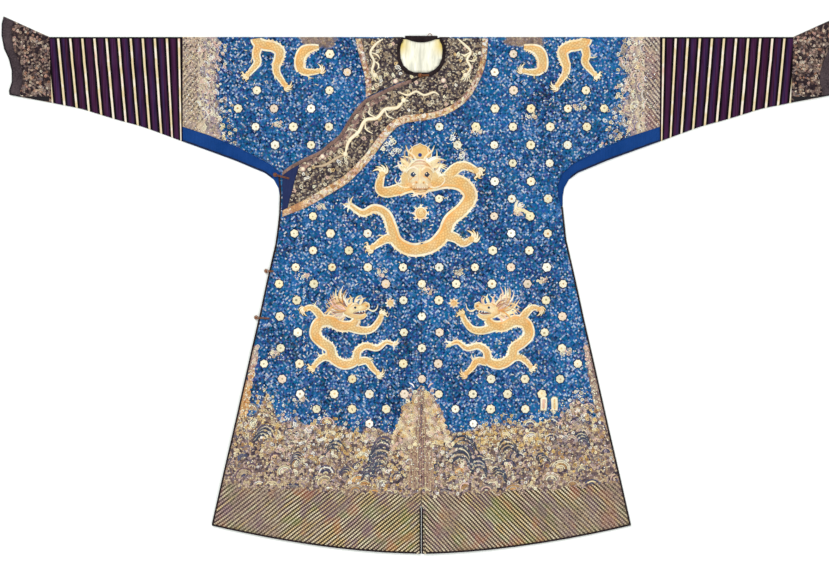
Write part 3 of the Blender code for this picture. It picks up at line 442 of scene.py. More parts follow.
def stitches(name, rough=0.5, metal=0.0, warm=0.2):
    """Silk or metal thread: the tint attribute is its colour, the thread attribute its run."""
    g = Graph(name, rough=rough, specular=0.2)
    g.shader.inputs["Metallic"].default_value = metal
    tint = g.attribute("tint", "Color")
    across, along, kind = g.parts(g.attribute("thread", "Vector"))
    strand = g.do("SINE", g.times(across, 2 * math.pi / STRAND_PITCH))
    couch = g.do("SINE", g.plus(g.times(along, 2 * math.pi / COUCHING_PITCH), g.times(across, 2.0)))
    row = g.do("DIVIDE", along, SCALE_LONG)
    shift = g.times(g.do("PINGPONG", g.do("FLOOR", row), 1.0), 0.5)
    su = g.minus(g.do("FRACT", g.plus(g.do("DIVIDE", across, SCALE_WIDE), shift)), 0.5)
    sv = g.do("FRACT", row)
    reach = g.do("SQRT", g.plus(g.times(su, su), g.times(g.times(sv, sv), 0.30)))
    scale = g.times(g.step(g.size(g.minus(reach, 0.47)), 0.07, -0.03), g.step(kind, 0.5, 0.01))
    fine = g.noise(420.0, 2.0, 0.6)
    fade = g.noise(38.0, 3.0, 0.6)
    light = g.plus(0.56, g.plus(g.times(fine, 0.44), g.times(fade, 0.40)))
    light = g.plus(light, g.times(strand, 0.05))
    grey = g.node("CombineColor", inputs={0: light, 1: light, 2: light})
    color = g.mix(1.0, tint, grey, "MULTIPLY")
    yellowed = g.times(g.step(g.noise(26.0, 3.0, 0.7), 0.53, 0.07), warm)
    color = g.mix(yellowed, color, g.mix(1.0, color, (1.0, 0.76, 0.46), "MULTIPLY"))
    reddened = g.times(g.step(g.noise(34.0, 3.0, 0.7, g.scaled(1.0, 40.0)), 0.56, 0.06), warm * 0.6)
    color = g.mix(reddened, color, g.mix(1.0, color, (1.0, 0.80, 0.80), "MULTIPLY"))
    color = g.mix(g.times(scale, 0.6), color, g.mix(1.0, tint, (0.66, 0.40, 0.20), "MULTIPLY"))
    height = g.plus(g.times(strand, 0.5), g.times(couch, 0.2))
    height = g.minus(height, g.times(scale, 0.8))
    return g.finish(color, height, 0.00025)


BRAID = plain_silk("braided_cord", rgb(134, 84, 54), 0.4, 0.6)
FINISHES = {
    "blue_silk": blue_silk(),
    "plain_blue": plain_silk("plain_blue_silk", rgb(0, 58, 126)),
    "striped_silk": pleated_silk(),
    "cuff_silk": packed_silk("cuff_silk_curls", [
        (0.0, rgb(36, 26, 32)), (0.36, rgb(66, 52, 56)), (0.58, rgb(112, 90, 80)), (0.78, rgb(176, 154, 140)),
        (1.0, rgb(140, 104, 96)),
    ], 0.0058, rgb(34, 26, 30)),
    "dark_border": dark_cloth("dark_border_cloth", rgb(26, 20, 26), rgb(94, 80, 84)),
    "collar_silk": packed_silk("collar_silk_curls", [
        (0.0, rgb(50, 40, 46)), (0.32, rgb(88, 78, 84)), (0.55, rgb(134, 118, 108)),
        (0.75, rgb(196, 172, 138)), (1.0, rgb(236, 224, 200)),
    ], 0.0048, rgb(44, 34, 42)),
    "gold_trim": packed_silk("gold_trim_curls", [
        (0.0, rgb(176, 124, 96)), (0.3, rgb(216, 164, 110)), (0.6, rgb(238, 200, 156)),
        (0.8, rgb(250, 234, 204)), (1.0, rgb(196, 142, 130)),
    ], 0.0070, rgb(150, 104, 84), 0.05, 0.3, (0.68, 0.70, 0.86)),
    "navy_silk": plain_silk("navy_silk_plain", rgb(32, 44, 88), 0.25, 0.5),
    "binding": dark_cloth("binding_cloth", rgb(16, 11, 14), rgb(58, 46, 48), slit=True),
    "lining": lining_silk(),
    "toggle_cord": BRAID,
    "overlap_edging": dark_cloth("collar_edge_cloth", rgb(70, 52, 54), rgb(176, 142, 128)),
}

# ---- Creases ---------------------------------------------------------------------------------------
Crease = namedtuple("Crease", "x0 drop0 x1 drop1 height reach")
CREASES = (
    # long folds that fan out down the skirt
    Crease(0.062, 0.660, 0.085, 1.330, 0.0030, 0.034), Crease(0.148, 0.760, 0.196, 1.240, 0.0022, 0.030),
    Crease(0.238, 0.610, 0.322, 1.310, 0.0034, 0.040), Crease(0.338, 0.800, 0.420, 1.270, 0.0024, 0.028),
    Crease(0.402, 0.690, 0.500, 1.210, 0.0026, 0.032), Crease(-0.070, 0.720, -0.096, 1.350, 0.0028, 0.036),
    Crease(-0.176, 0.640, -0.226, 1.180, 0.0026, 0.032), Crease(-0.262, 0.830, -0.330, 1.300, 0.0032, 0.038),
    Crease(-0.330, 0.760, -0.398, 1.150, 0.0020, 0.026), Crease(-0.430, 0.900, -0.492, 1.250, 0.0020, 0.026),
    # drag lines from the underarms towards the chest and the waist
    Crease(0.360, 0.420, 0.214, 0.270, 0.0026, 0.026), Crease(0.352, 0.480, 0.176, 0.410, 0.0020, 0.024),
    Crease(0.346, 0.560, 0.250, 0.690, 0.0018, 0.024), Crease(-0.330, 0.540, -0.200, 0.660, 0.0018, 0.024),
    Crease(-0.300, 0.250, -0.215, 0.120, 0.0020, 0.024),
    # storage folds across the body and down the sleeves
    Crease(0.070, 0.628, 0.300, 0.640, 0.0012, 0.016), Crease(-0.290, 0.600, -0.060, 0.612, 0.0012, 0.016),
    Crease(0.505, 0.030, 0.494, 0.260, 0.0022, 0.026), Crease(-0.512, 0.040, -0.500, 0.270, 0.0020, 0.024),
    Crease(0.400, 0.120, 0.600, 0.100, 0.0018, 0.026), Crease(-0.380, 0.150, -0.590, 0.130, 0.0018, 0.026),
    Crease(0.590, 0.190, 0.450, 0.285, 0.0022, 0.024), Crease(-0.600, 0.200, -0.450, 0.290, 0.0020, 0.024),
    Crease(0.700, 0.090, 0.960, 0.060, 0.0016, 0.024), Crease(-0.700, 0.080, -0.950, 0.070, 0.0016, 0.024),
    Crease(0.690, 0.190, 0.880, 0.140, 0.0014, 0.018), Crease(-0.700, 0.180, -0.900, 0.150, 0.0014, 0.018),
)


def crease(x, drop):
    """How far the cloth stands above its solid's own form."""
    total = 0.0
    for c in CREASES:
        run = (c.x1 - c.x0, c.drop1 - c.drop0)
        t = ((x - c.x0) * run[0] + (drop - c.drop0) * run[1]) / (run[0] ** 2 + run[1] ** 2)
        t = min(max(t, 0.0), 1.0)
        bend = 0.010 * noise.noise((3 * x, 5 * drop, c.height * 900))
        away = math.hypot(x - c.x0 - t * run[0] + bend, drop - c.drop0 - t * run[1]) / c.reach
        if away < 1:
            total += 1.9 * c.height * (1 - away * away) ** 2
    rumple = 0.0007 * max(noise.noise((11 * x, 9 * drop, 4.0)) + 0.25, 0.0)
    return (total + rumple) * ease((0.02 + side_half(drop) - abs(x)) / 0.05 if drop > 0.42 else 1.0)


# ---- Cloth shells ----------------------------------------------------------------------------------
WELD, SLIVER = 1e-5, 1e-7      # metres: corners this near are one, and cuts this near a corner go through it
LEVEL, FLAT = 0.94, 0.985      # how upright a normal is where a face counts as level, and as quite flat
SOFTENINGS = 4


def cut_into_grid(work, cell):
    for axis in (0, 1):
        spread = [v.co[axis] for v in work.verts]
        normal = Vector((1 - axis, axis, 0))
        for i in range(math.floor(min(spread) / cell), math.ceil(max(spread) / cell)):
            geometry = work.verts[:] + work.edges[:] + work.faces[:]
            bmesh.ops.bisect_plane(
                work, geom=geometry, dist=SLIVER, plane_co=normal * (i + 0.5) * cell, plane_no=normal
            )


def on_grid(edge, cell):
    a, b = (v.co for v in edge.verts)
    for axis in (0, 1):
        if abs(a[axis] - b[axis]) < 1e-6 and abs((a[axis] / cell) % 1 - 0.5) < 1e-3:
            return True
    return False


def level(face):
    return abs(face.normal.z) > LEVEL


def shell(node, cell):
    """A finer copy of a cloth solid: even cells, softened bends, and creases in its upper layers."""
    work = bmesh.new()
    work.from_mesh(frame["nodes"][node].data)
    bmesh.ops.remove_doubles(work, verts=work.verts, dist=WELD)
    cut_into_grid(work, cell)
    work.normal_update()
    inner = [
        e for e in work.edges
        if len(e.link_faces) == 2 and all(level(f) for f in e.link_faces)
        and e.link_faces[0].normal.dot(e.link_faces[1].normal) > FLAT and not on_grid(e, cell)
    ]
    bmesh.ops.dissolve_edges(work, edges=inner, use_verts=True)
    work.normal_update()
    raised = [v for v in work.verts if v.link_faces and v.co.z > CLOTH]
    top = [v for v in raised if all(f.normal.z > FLAT for f in v.link_faces)]
    for _ in range(SOFTENINGS):
        bmesh.ops.smooth_vert(work, verts=top, factor=0.5, use_axis_z=True)
    for v in work.verts:
        share = ease((v.co.z - CLOTH) / LAYER)
        if share > 0:
            v.co.z += share * crease(v.co.x, SHOULDER_Y - v.co.y)
    bmesh.ops.triangulate(work, faces=work.faces[:])
    work.normal_update()
    mesh = bpy.data.meshes.new(node + "_cloth")
    lay_out(work)
    work.to_mesh(mesh)
    work.free()
    mesh.shade_smooth()
    mesh.set_sharp_from_angle(angle=math.radians(35))
    made = bpy.data.objects.new(node + "_cloth", mesh)
    bpy.context.scene.collection.objects.link(made)
    slot = SLOTS[node]
    made.data.materials.append(FINISHES.get(node, FINISHES[slot]))
    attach(made, "root")
    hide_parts(node)
    return made


def lay_out(work):
    """Flat coordinates for the baked maps: the upper side at full size, the rest small beside it."""
    uv = work.loops.layers.uv.new("OFBake")
    xs, ys = [v.co.x for v in work.verts], [v.co.y for v in work.verts]
    low, wide, tall = (min(xs), min(ys)), max(xs) - min(xs), max(ys) - min(ys)
    aside = 0.3
    size = 1.04 * max(wide, tall, min(wide, tall) * (1 + aside) + 0.02 * max(wide, tall))
    for face in work.faces:
        up = face.normal.z > 0.2
        for loop in face.loops:
            u, v = (loop.vert.co.x - low[0]) / size, (loop.vert.co.y - low[1]) / size
            if not up and wide >= tall:
                u, v = aside * u, aside * v + tall / size + 0.02
            elif not up:
                u, v = aside * u + wide / size + 0.02, aside * v
            loop[uv].uv = (u, v)


def cut_area(node):
    """Area of the cloth in a thin solid: half its surface."""
    return sum(p.area for p in frame["nodes"][node].data.polygons) / 2


SLOTS = {entry["node"]: entry["material_slot"] for entry in frame["record"]["subparts"]}
Cut = namedtuple("Cut", "node cell wide long rests_on")
BODY_CELL = 0.011
CUTS = (
    Cut("left_half", BODY_CELL, 0.648, 2.790, ()),
    Cut("right_half", BODY_CELL, 0.648, 2.776, ()),
    Cut("overlap_panel", BODY_CELL, 0.583, 1.288, ("right_half_cloth",)),
    Cut("left_sleeve_pleated", BODY_CELL, 0.362, 0.568, ()),
    Cut("right_sleeve_pleated", BODY_CELL, 0.362, 0.568, ()),
    Cut("left_under_sleeve", 0.012, 0.082, 0.343, ()),
    Cut("right_under_sleeve", 0.012, 0.082, 0.343, ()),
    Cut("left_cuff", 0.012, 0.110, 0.450, ()),
    Cut("right_cuff", 0.012, 0.110, 0.450, ()),
    Cut("left_cuff_border", 0.012, 0.044, 0.445, ()),
    Cut("right_cuff_border", 0.012, 0.044, 0.445, ()),
    Cut("collar_facing", 0.010, 0.160, 0.700, ("left_half_cloth", "overlap_panel_cloth")),
    Cut("right_collar_facing", 0.010, 0.140, 0.156, ("right_half_cloth",)),
    Cut("collar_end_patch", 0.010, 0.038, 0.132, ("overlap_panel_cloth",)),
    Cut("neck_lining", 0.010, 0.117, 0.091, ("left_half_cloth", "right_half_cloth")),
)
TRIMS = (
    "collar_trim", "right_collar_trim", "overlap_edging", "left_neck_binding", "right_neck_binding",
    "back_neck_band", "left_side_piping", "right_side_piping", "left_back_hem_binding",
    "right_back_hem_binding", "left_front_hem_binding", "overlap_binding",
)
CARRIES = {   # each cloth with the narrow bindings and trims that are sewn to it
    "left_half": ("left_side_piping", "left_back_hem_binding", "left_front_hem_binding"),
    "right_half": ("right_side_piping", "right_back_hem_binding"),
    "overlap_panel": ("overlap_binding",),
    "collar_facing": ("collar_trim", "overlap_edging", "left_neck_binding"),
    "right_collar_facing": ("right_collar_trim", "right_neck_binding"),
    "neck_lining": ("back_neck_band",),
}


def build_cloth():
    trims = {node: shell(node, 0.012) for node in TRIMS}
    made = {cut.node: shell(cut.node, cut.cell) for cut in CUTS}
    for cut in CUTS:
        area = min(cut_area(cut.node), cut.wide * cut.long)
        [trims[node] for node in CARRIES.get(cut.node, ())]
    for node in ("left_sleeve_pleated", "right_sleeve_pleated"):
        mark_pleats(made[node].data)
    return list(made.values()) + list(trims.values())


def mark_pleats(mesh):
    """Counts the pleats along the sleeve, following their slant."""
    mark = mesh.attributes.new("pleat", "FLOAT", "POINT")
    for i, v in enumerate(mesh.vertices):
        x, drop = abs(v.co.x), SHOULDER_Y - v.co.y
        top = x
        for _ in range(6):
            top = x + between(SLANTS, top) * drop
        mark.data[i].value = (top - PLEAT_FIRST) / PLEAT_PITCH


# ---- Laying stitches on the cloth --------------------------------------------------------------------
def surface_of(pieces):
    """A tree of the pieces' faces with the name of each face's piece, to find what lies at a place."""
    verts, faces, names = [], [], []
    for piece in pieces:
        start = len(verts)
        verts += [v.co.copy() for v in piece.data.vertices]
        faces += [[start + i for i in p.vertices] for p in piece.data.polygons]
        names += [piece.name.removesuffix("_cloth")] * len(piece.data.polygons)
    return BVHTree.FromPolygons(verts, faces), names


cloth = build_cloth()
surface, owners = surface_of(cloth)
DOWN, ABOVE = Vector((0, 0, -1)), 0.1        # a look straight down, from higher than any cloth
GROUND = {"left_half", "right_half", "overlap_panel"}


def height(x, y):
    hit = surface.ray_cast(Vector((x, y, ABOVE)), DOWN)[0]
    return hit.z if hit else LAYER + CLOTH


def piece_at(x, y):
    face = surface.ray_cast(Vector((x, y, ABOVE)), DOWN)[2]
    return owners[face] if face is not None else None


def first_of(names, places):
    """The first place (x, drop) at which one of the named pieces shows."""
    return next((p for p in places if piece_at(p[0], SHOULDER_Y - p[1]) in names), None)


def on_ground(x, y):
    """Whether the blue silk lies at a place, clear of its edges."""
    return all(
        piece_at(x + a, y + b) in GROUND for a, b in ((0.004, 0), (-0.004, 0), (0, 0.004), (0, -0.004))
    )


def spot(x, drop, turn=0.0, size=1.0, flip=1):
    """Turns a motif's own (u, v) in millimetres into a place in the frame."""
    c, s = math.cos(math.radians(turn)), math.sin(math.radians(turn))

    def at(u, v):
        u *= flip
        return x + size * (u * c - v * s) / 1000, SHOULDER_Y - drop + size * (u * s + v * c) / 1000

    at.size = size
    return at


def within(at, u, v, turn=0.0, size=1.0):
    """A smaller motif's own coordinates inside another's."""
    c, s = math.cos(math.radians(turn)), math.sin(math.radians(turn))

    def inner(p, q):
        return at(u + size * (p * c - q * s), v + size * (p * s + q * c))

    inner.size = at.size * size
    return inner


def spline(p, q, r, s, t):
    """Catmull-Rom between q and r."""
    bend, twist = 2 * p - 5 * q + 4 * r - s, 3 * q - p - 3 * r + s
    return 0.5 * (2 * q + (r - p) * t + bend * t * t + twist * t ** 3)


def smooth(rows, per):
    """A curve through rows of numbers."""
    rows = [tuple(map(float, r)) for r in rows]
    ends = [rows[0]] + rows + [rows[-1]]
    out = []
    for a, b, c, d in zip(ends, ends[1:], ends[2:], ends[3:]):
        for k in range(per):
            out.append(tuple(spline(*near, k / per) for near in zip(a, b, c, d)))
    return out + [rows[-1]]


def normal_at(line, i):
    a, b = line[max(i - 1, 0)], line[min(i + 1, len(line) - 1)]
    du, dv = b[0] - a[0], b[1] - a[1]
    size = math.hypot(du, dv) or 1.0
    return -dv / size, du / size


def beside(line, share, half_share):
    """A narrower band at one side of a line, shifted by a share of the half width."""
    out = []
    for i, (u, v, half) in enumerate(line):
        nu, nv = normal_at(line, i)
        out.append((u + nu * half * share, v + nv * half * share, half * half_share))
    return out


def uneven(color, spread=0.12):
    return shade(color, 1 + vary(-spread, spread))


def pick(colors, spread=0.12):
    """One of the colours, a little lighter or darker."""
    return uneven(chance.choice(colors), spread)


def any_turn():
    return vary(0, 360)


class Stitches:
    """Gathers raised stitched shapes into one mesh that follows the cloth below them."""

    WIDE = ((-1.0, 0.0), (-0.62, 0.78), (0.0, 1.0), (0.62, 0.78), (1.0, 0.0))
    THIN = ((-1.0, 0.0), (0.0, 1.0), (1.0, 0.0))

    def __init__(self, name, slot="blue_silk", material=None):
        self.name, self.slot, self.material = name, slot, material or SILK_THREAD
        self.verts, self.faces, self.tints, self.threads = [], [], [], []

    def point(self, at, u, v, up, tint, thread):
        x, y = at(u, v)
        self.verts.append((x, y, height(x, y) + up / 1000))
        self.tints.append(tint)
        self.threads.append(thread)

    def ribbon(self, at, rows, tint, rise=0.8, edge=None, per=4, kind=0.0, lift=0.0, keep=None):
        """A domed band along rows of (u, v, half width), broken off where keep is false."""
        line = smooth(rows, per) if per > 1 else rows
        if keep:
            run = []
            for row in line + [None]:
                if row and keep(*at(row[0], row[1])):
                    run.append(row)
                    continue
                if len(run) > 2:
                    self.ribbon(at, run, tint, rise, edge, 1, kind, lift)
                run = []
            return
        widest = max(r[2] for r in line)
        profile = self.WIDE if widest * at.size > 2.2 else self.THIN
        start, length = len(self.verts), 0.0
        for i, (u, v, half) in enumerate(line):
            nu, nv = normal_at(line, i)
            if i:
                length += math.dist(line[i - 1][:2], (u, v))
            here = rise * min(1.0, 0.25 + 1.6 * half / widest)
            for s, up in profile:
                self.point(
                    at, u + nu * half * s, v + nv * half * s, lift + here * up - (0.25 if up == 0 else 0),
                    edge if edge and up == 0 else tint, (half * s * at.size, length * at.size, kind),
                )
        n = len(profile)
        for i in range(len(line) - 1):
            for k in range(n - 1):
                a = start + i * n + k
                self.faces.append((a, a + 1, a + n + 1, a + n))

    def blob(
        self, at, outline, tint, rise=0.9, edge=None, lift=0.0, core=None,
        levels=((1, 0), (0.78, 0.8), (0.4, 1)),
    ):
        """A padded patch inside an outline that its own centre can see all round."""
        cu, cv = (sum(p[i] for p in outline) / len(outline) for i in (0, 1))
        start, n = len(self.verts), len(outline)
        for share, up in levels:
            color = edge if edge and share == 1 else (core if core and share < 0.5 else tint)
            for u, v in outline:
                pu, pv = cu + (u - cu) * share, cv + (v - cv) * share
                raised = lift + rise * up - (0.25 if up == 0 else 0)
                self.point(at, pu, pv, raised, color, (pu * at.size, pv * at.size, 0.0))
        self.point(at, cu, cv, lift + rise * levels[-1][1], core or tint, (cu, cv, 0.0))
        last = start + len(levels) * n
        for ring in range(len(levels) - 1):
            for k in range(n):
                a, b = start + ring * n + k, start + ring * n + (k + 1) % n
                self.faces.append((a, b, b + n, a + n))
        for k in range(n):
            self.faces.append((last - n + k, last - n + (k + 1) % n, last))

    def disc(
        self, at, u, v, radius, tint, rise=0.9, edge=None, lift=0.0, core=None, sides=10, wave=0.0,
        petals=0, tall=1.0,
    ):
        outline = []
        for k in range(sides):
            t = 2 * math.pi * k / sides
            r = radius * (1 + wave * math.cos(petals * t))
            outline.append((u + r * math.cos(t), v + r * tall * math.sin(t)))
        self.blob(at, outline, tint, rise, edge, lift, core)

    def build(self):
        mesh = bpy.data.meshes.new(self.name)
        mesh.from_pydata(self.verts, [], self.faces)
        tint = mesh.attributes.new("tint", "FLOAT_COLOR", "POINT")
        tint.data.foreach_set("color", [c for t in self.tints for c in (*t, 1.0)])
        thread = mesh.attributes.new("thread", "FLOAT_VECTOR", "POINT")
        thread.data.foreach_set("vector", [c for t in self.threads for c in t])
        work = bmesh.new()
        work.from_mesh(mesh)
        for face in work.faces:
            face.normal_update()
            if face.normal.z < 0:
                face.normal_flip()
        lay_out(work)
        work.to_mesh(mesh)
        work.free()
        mesh.shade_smooth()
        mesh.materials.append(self.material)
        made = bpy.data.objects.new(self.name, mesh)
        bpy.context.scene.collection.objects.link(made)
        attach(made, "root")
        return made


SILK_THREAD = stitches("silk_thread", 0.5)
GOLD_THREAD = stitches("gold_thread", 0.42, 0.1, 0.7)


# ---- Motifs ------------------------------------------------------------------------------------------
def rosette(work, at):
    """A small round flower with a coloured heart."""
    tone = chance.choice((
        CREAM, CREAM, WHITE, rgb(244, 242, 226), rgb(240, 232, 200), rgb(248, 236, 196), rgb(246, 240, 214),
        rgb(240, 222, 202),
    ))
    heart = chance.choice((
        OCHRE, rgb(176, 168, 122), rgb(150, 146, 120), rgb(190, 176, 140), rgb(206, 176, 132), GOLD,
    ))
    radius, petals = vary(10.8, 12.4), chance.choice((6, 7, 8))
    work.disc(at, 0, 0, radius + 3.4, NAVY, 0.4, sides=20)
    work.disc(
        at, 0, 0, radius, uneven(tone, 0.06), 1.1, edge=shade(tone, 0.84), sides=32, wave=0.07,
        petals=petals, lift=0.3,
    )
    u, v = vary(-1.6, 1.6), vary(-1.6, 1.6)
    work.disc(
        at, u, v, vary(2.6, 3.9), uneven(heart), 0.6, edge=shade(heart, 0.6), core=heart, sides=10, lift=1.2
    )
    for _ in range(3):
        a = vary(0, 2 * math.pi)
        u, v = 0.66 * radius * math.cos(a), 0.66 * radius * math.sin(a)
        work.disc(at, u, v, 1.3, shade(tone, 0.72), 0.5, sides=5, lift=1.3)


def wisps(work, at, count, long, spread, tints, half=1.8, lift=0.2, keep=None):
    """Locks of hair or tongues of flame that fan out from (0, 0) about +u."""
    for k in range(count):
        a = math.radians(spread * ((k + 0.5) / count - 0.5) * 2 + vary(-5, 5))
        bend = math.radians(chance.choice((-28, 28)))
        reach = long * vary(0.75, 1.1)
        rows = [(0.0, 0.0, half)]
        for share, turn, wide in ((0.35, 0.0, 1.0), (0.7, 0.5, 0.75), (1.0, 1.0, 0.15)):
            far, heading = reach * share, a + bend * turn
            rows.append((far * math.cos(heading), far * math.sin(heading), half * wide))
        work.ribbon(at, rows, pick(tints), 0.8, per=3, lift=lift, keep=keep)


def scaled_body(work, at, rows, lift=0.0, keep=None, rim=3.6):
    """A dragon's body: cream outline, gold scales, a pale belly on one side and fins along its back."""
    line = smooth(rows, 6)
    work.ribbon(
        at, [(u, v, h + rim) for u, v, h in line], uneven(CREAM, 0.04), 0.6, per=1, lift=lift, keep=keep
    )
    line = [(u, v, max(h - 0.8, 1.5)) for u, v, h in line]
    work.ribbon(at, line, GOLD, 1.7, edge=shade(PALE_GOLD, 0.82), per=1, kind=1.0, lift=lift + 0.4, keep=keep)
    belly = beside(line, -0.66, 0.24)
    work.ribbon(at, belly, rgb(240, 190, 122), 0.5, per=1, lift=lift + 1.5, keep=keep)
    for i in range(3, len(line) - 2, 2):
        u, v, half = line[i]
        nu, nv = normal_at(line, i)
        out = half + rim - 0.5
        tip = out + 4.5
        fin = [
            (u + nu * out, v + nv * out, 2.2),
            (u + nu * (out + tip) / 2 - nv * 1.0, v + nv * (out + tip) / 2 + nu, 1.7),
            (u + nu * tip - nv * 3.0, v + nv * tip + nu * 3.0, 0.3),
        ]
        work.ribbon(at, fin, chance.choice((CREAM, WHITE, PALE_GOLD)), 0.6, per=1, lift=lift, keep=keep)


CLAWS, CLAW_SPREAD = 4, 95   # besides the one that points back, and the degrees over which they fan out


def limb(work, at, rows, lift=0.5, keep=None, curl=1):
    """A dragon's leg along rows, with tufts at its elbow and claws that fan out at its end."""
    line = smooth(rows, 5)
    u, v, half = rows[1]
    heading = math.degrees(math.atan2(v - rows[0][1], u - rows[0][0]))
    wisps(work, within(at, u, v, heading), 4, 3.2 * half, 50, (CREAM, PALE_GOLD, TEAL), half=2.0, keep=keep)
    work.ribbon(
        at, [(a, b, h + 2.8) for a, b, h in line], uneven(CREAM, 0.04), 0.6, per=1, lift=lift, keep=keep
    )
    line = [(a, b, h - 0.5) for a, b, h in line]
    work.ribbon(
        at, line, shade(GOLD, 1.02), 1.5, edge=shade(PALE_GOLD, 0.82), per=1, kind=1.0, lift=lift + 0.4,
        keep=keep,
    )
    (pu, pv, _), (u, v, half) = rows[-2], rows[-1]
    foot = within(at, u, v, math.degrees(math.atan2(v - pv, u - pu)), half / 5.0)
    if keep and not keep(*at(u, v)):
        return
    for k in range(CLAWS + 1):
        a = math.radians(CLAW_SPREAD * (k / (CLAWS - 1) - 0.5) if k < CLAWS else 155 * curl)
        b = a + math.radians(26 * curl)
        joints = ((3, a, 2.9), (11, a, 2.7), (16, b, 1.7), (20, b + 0.3, 0.3))
        claw = [(far * math.cos(t), far * math.sin(t), h) for far, t, h in joints]
        work.ribbon(foot, [(p, q, h + 1.2) for p, q, h in claw], shade(DARK, 0.9), 0.4, per=3, lift=lift)
        work.ribbon(foot, claw, uneven(CREAM, 0.06), 1.2, edge=GOLD, per=3, lift=lift + 0.3)
    work.disc(foot, 1.0, 0, 6.4, GOLD, 1.4, edge=OCHRE, lift=lift + 0.5, sides=12)


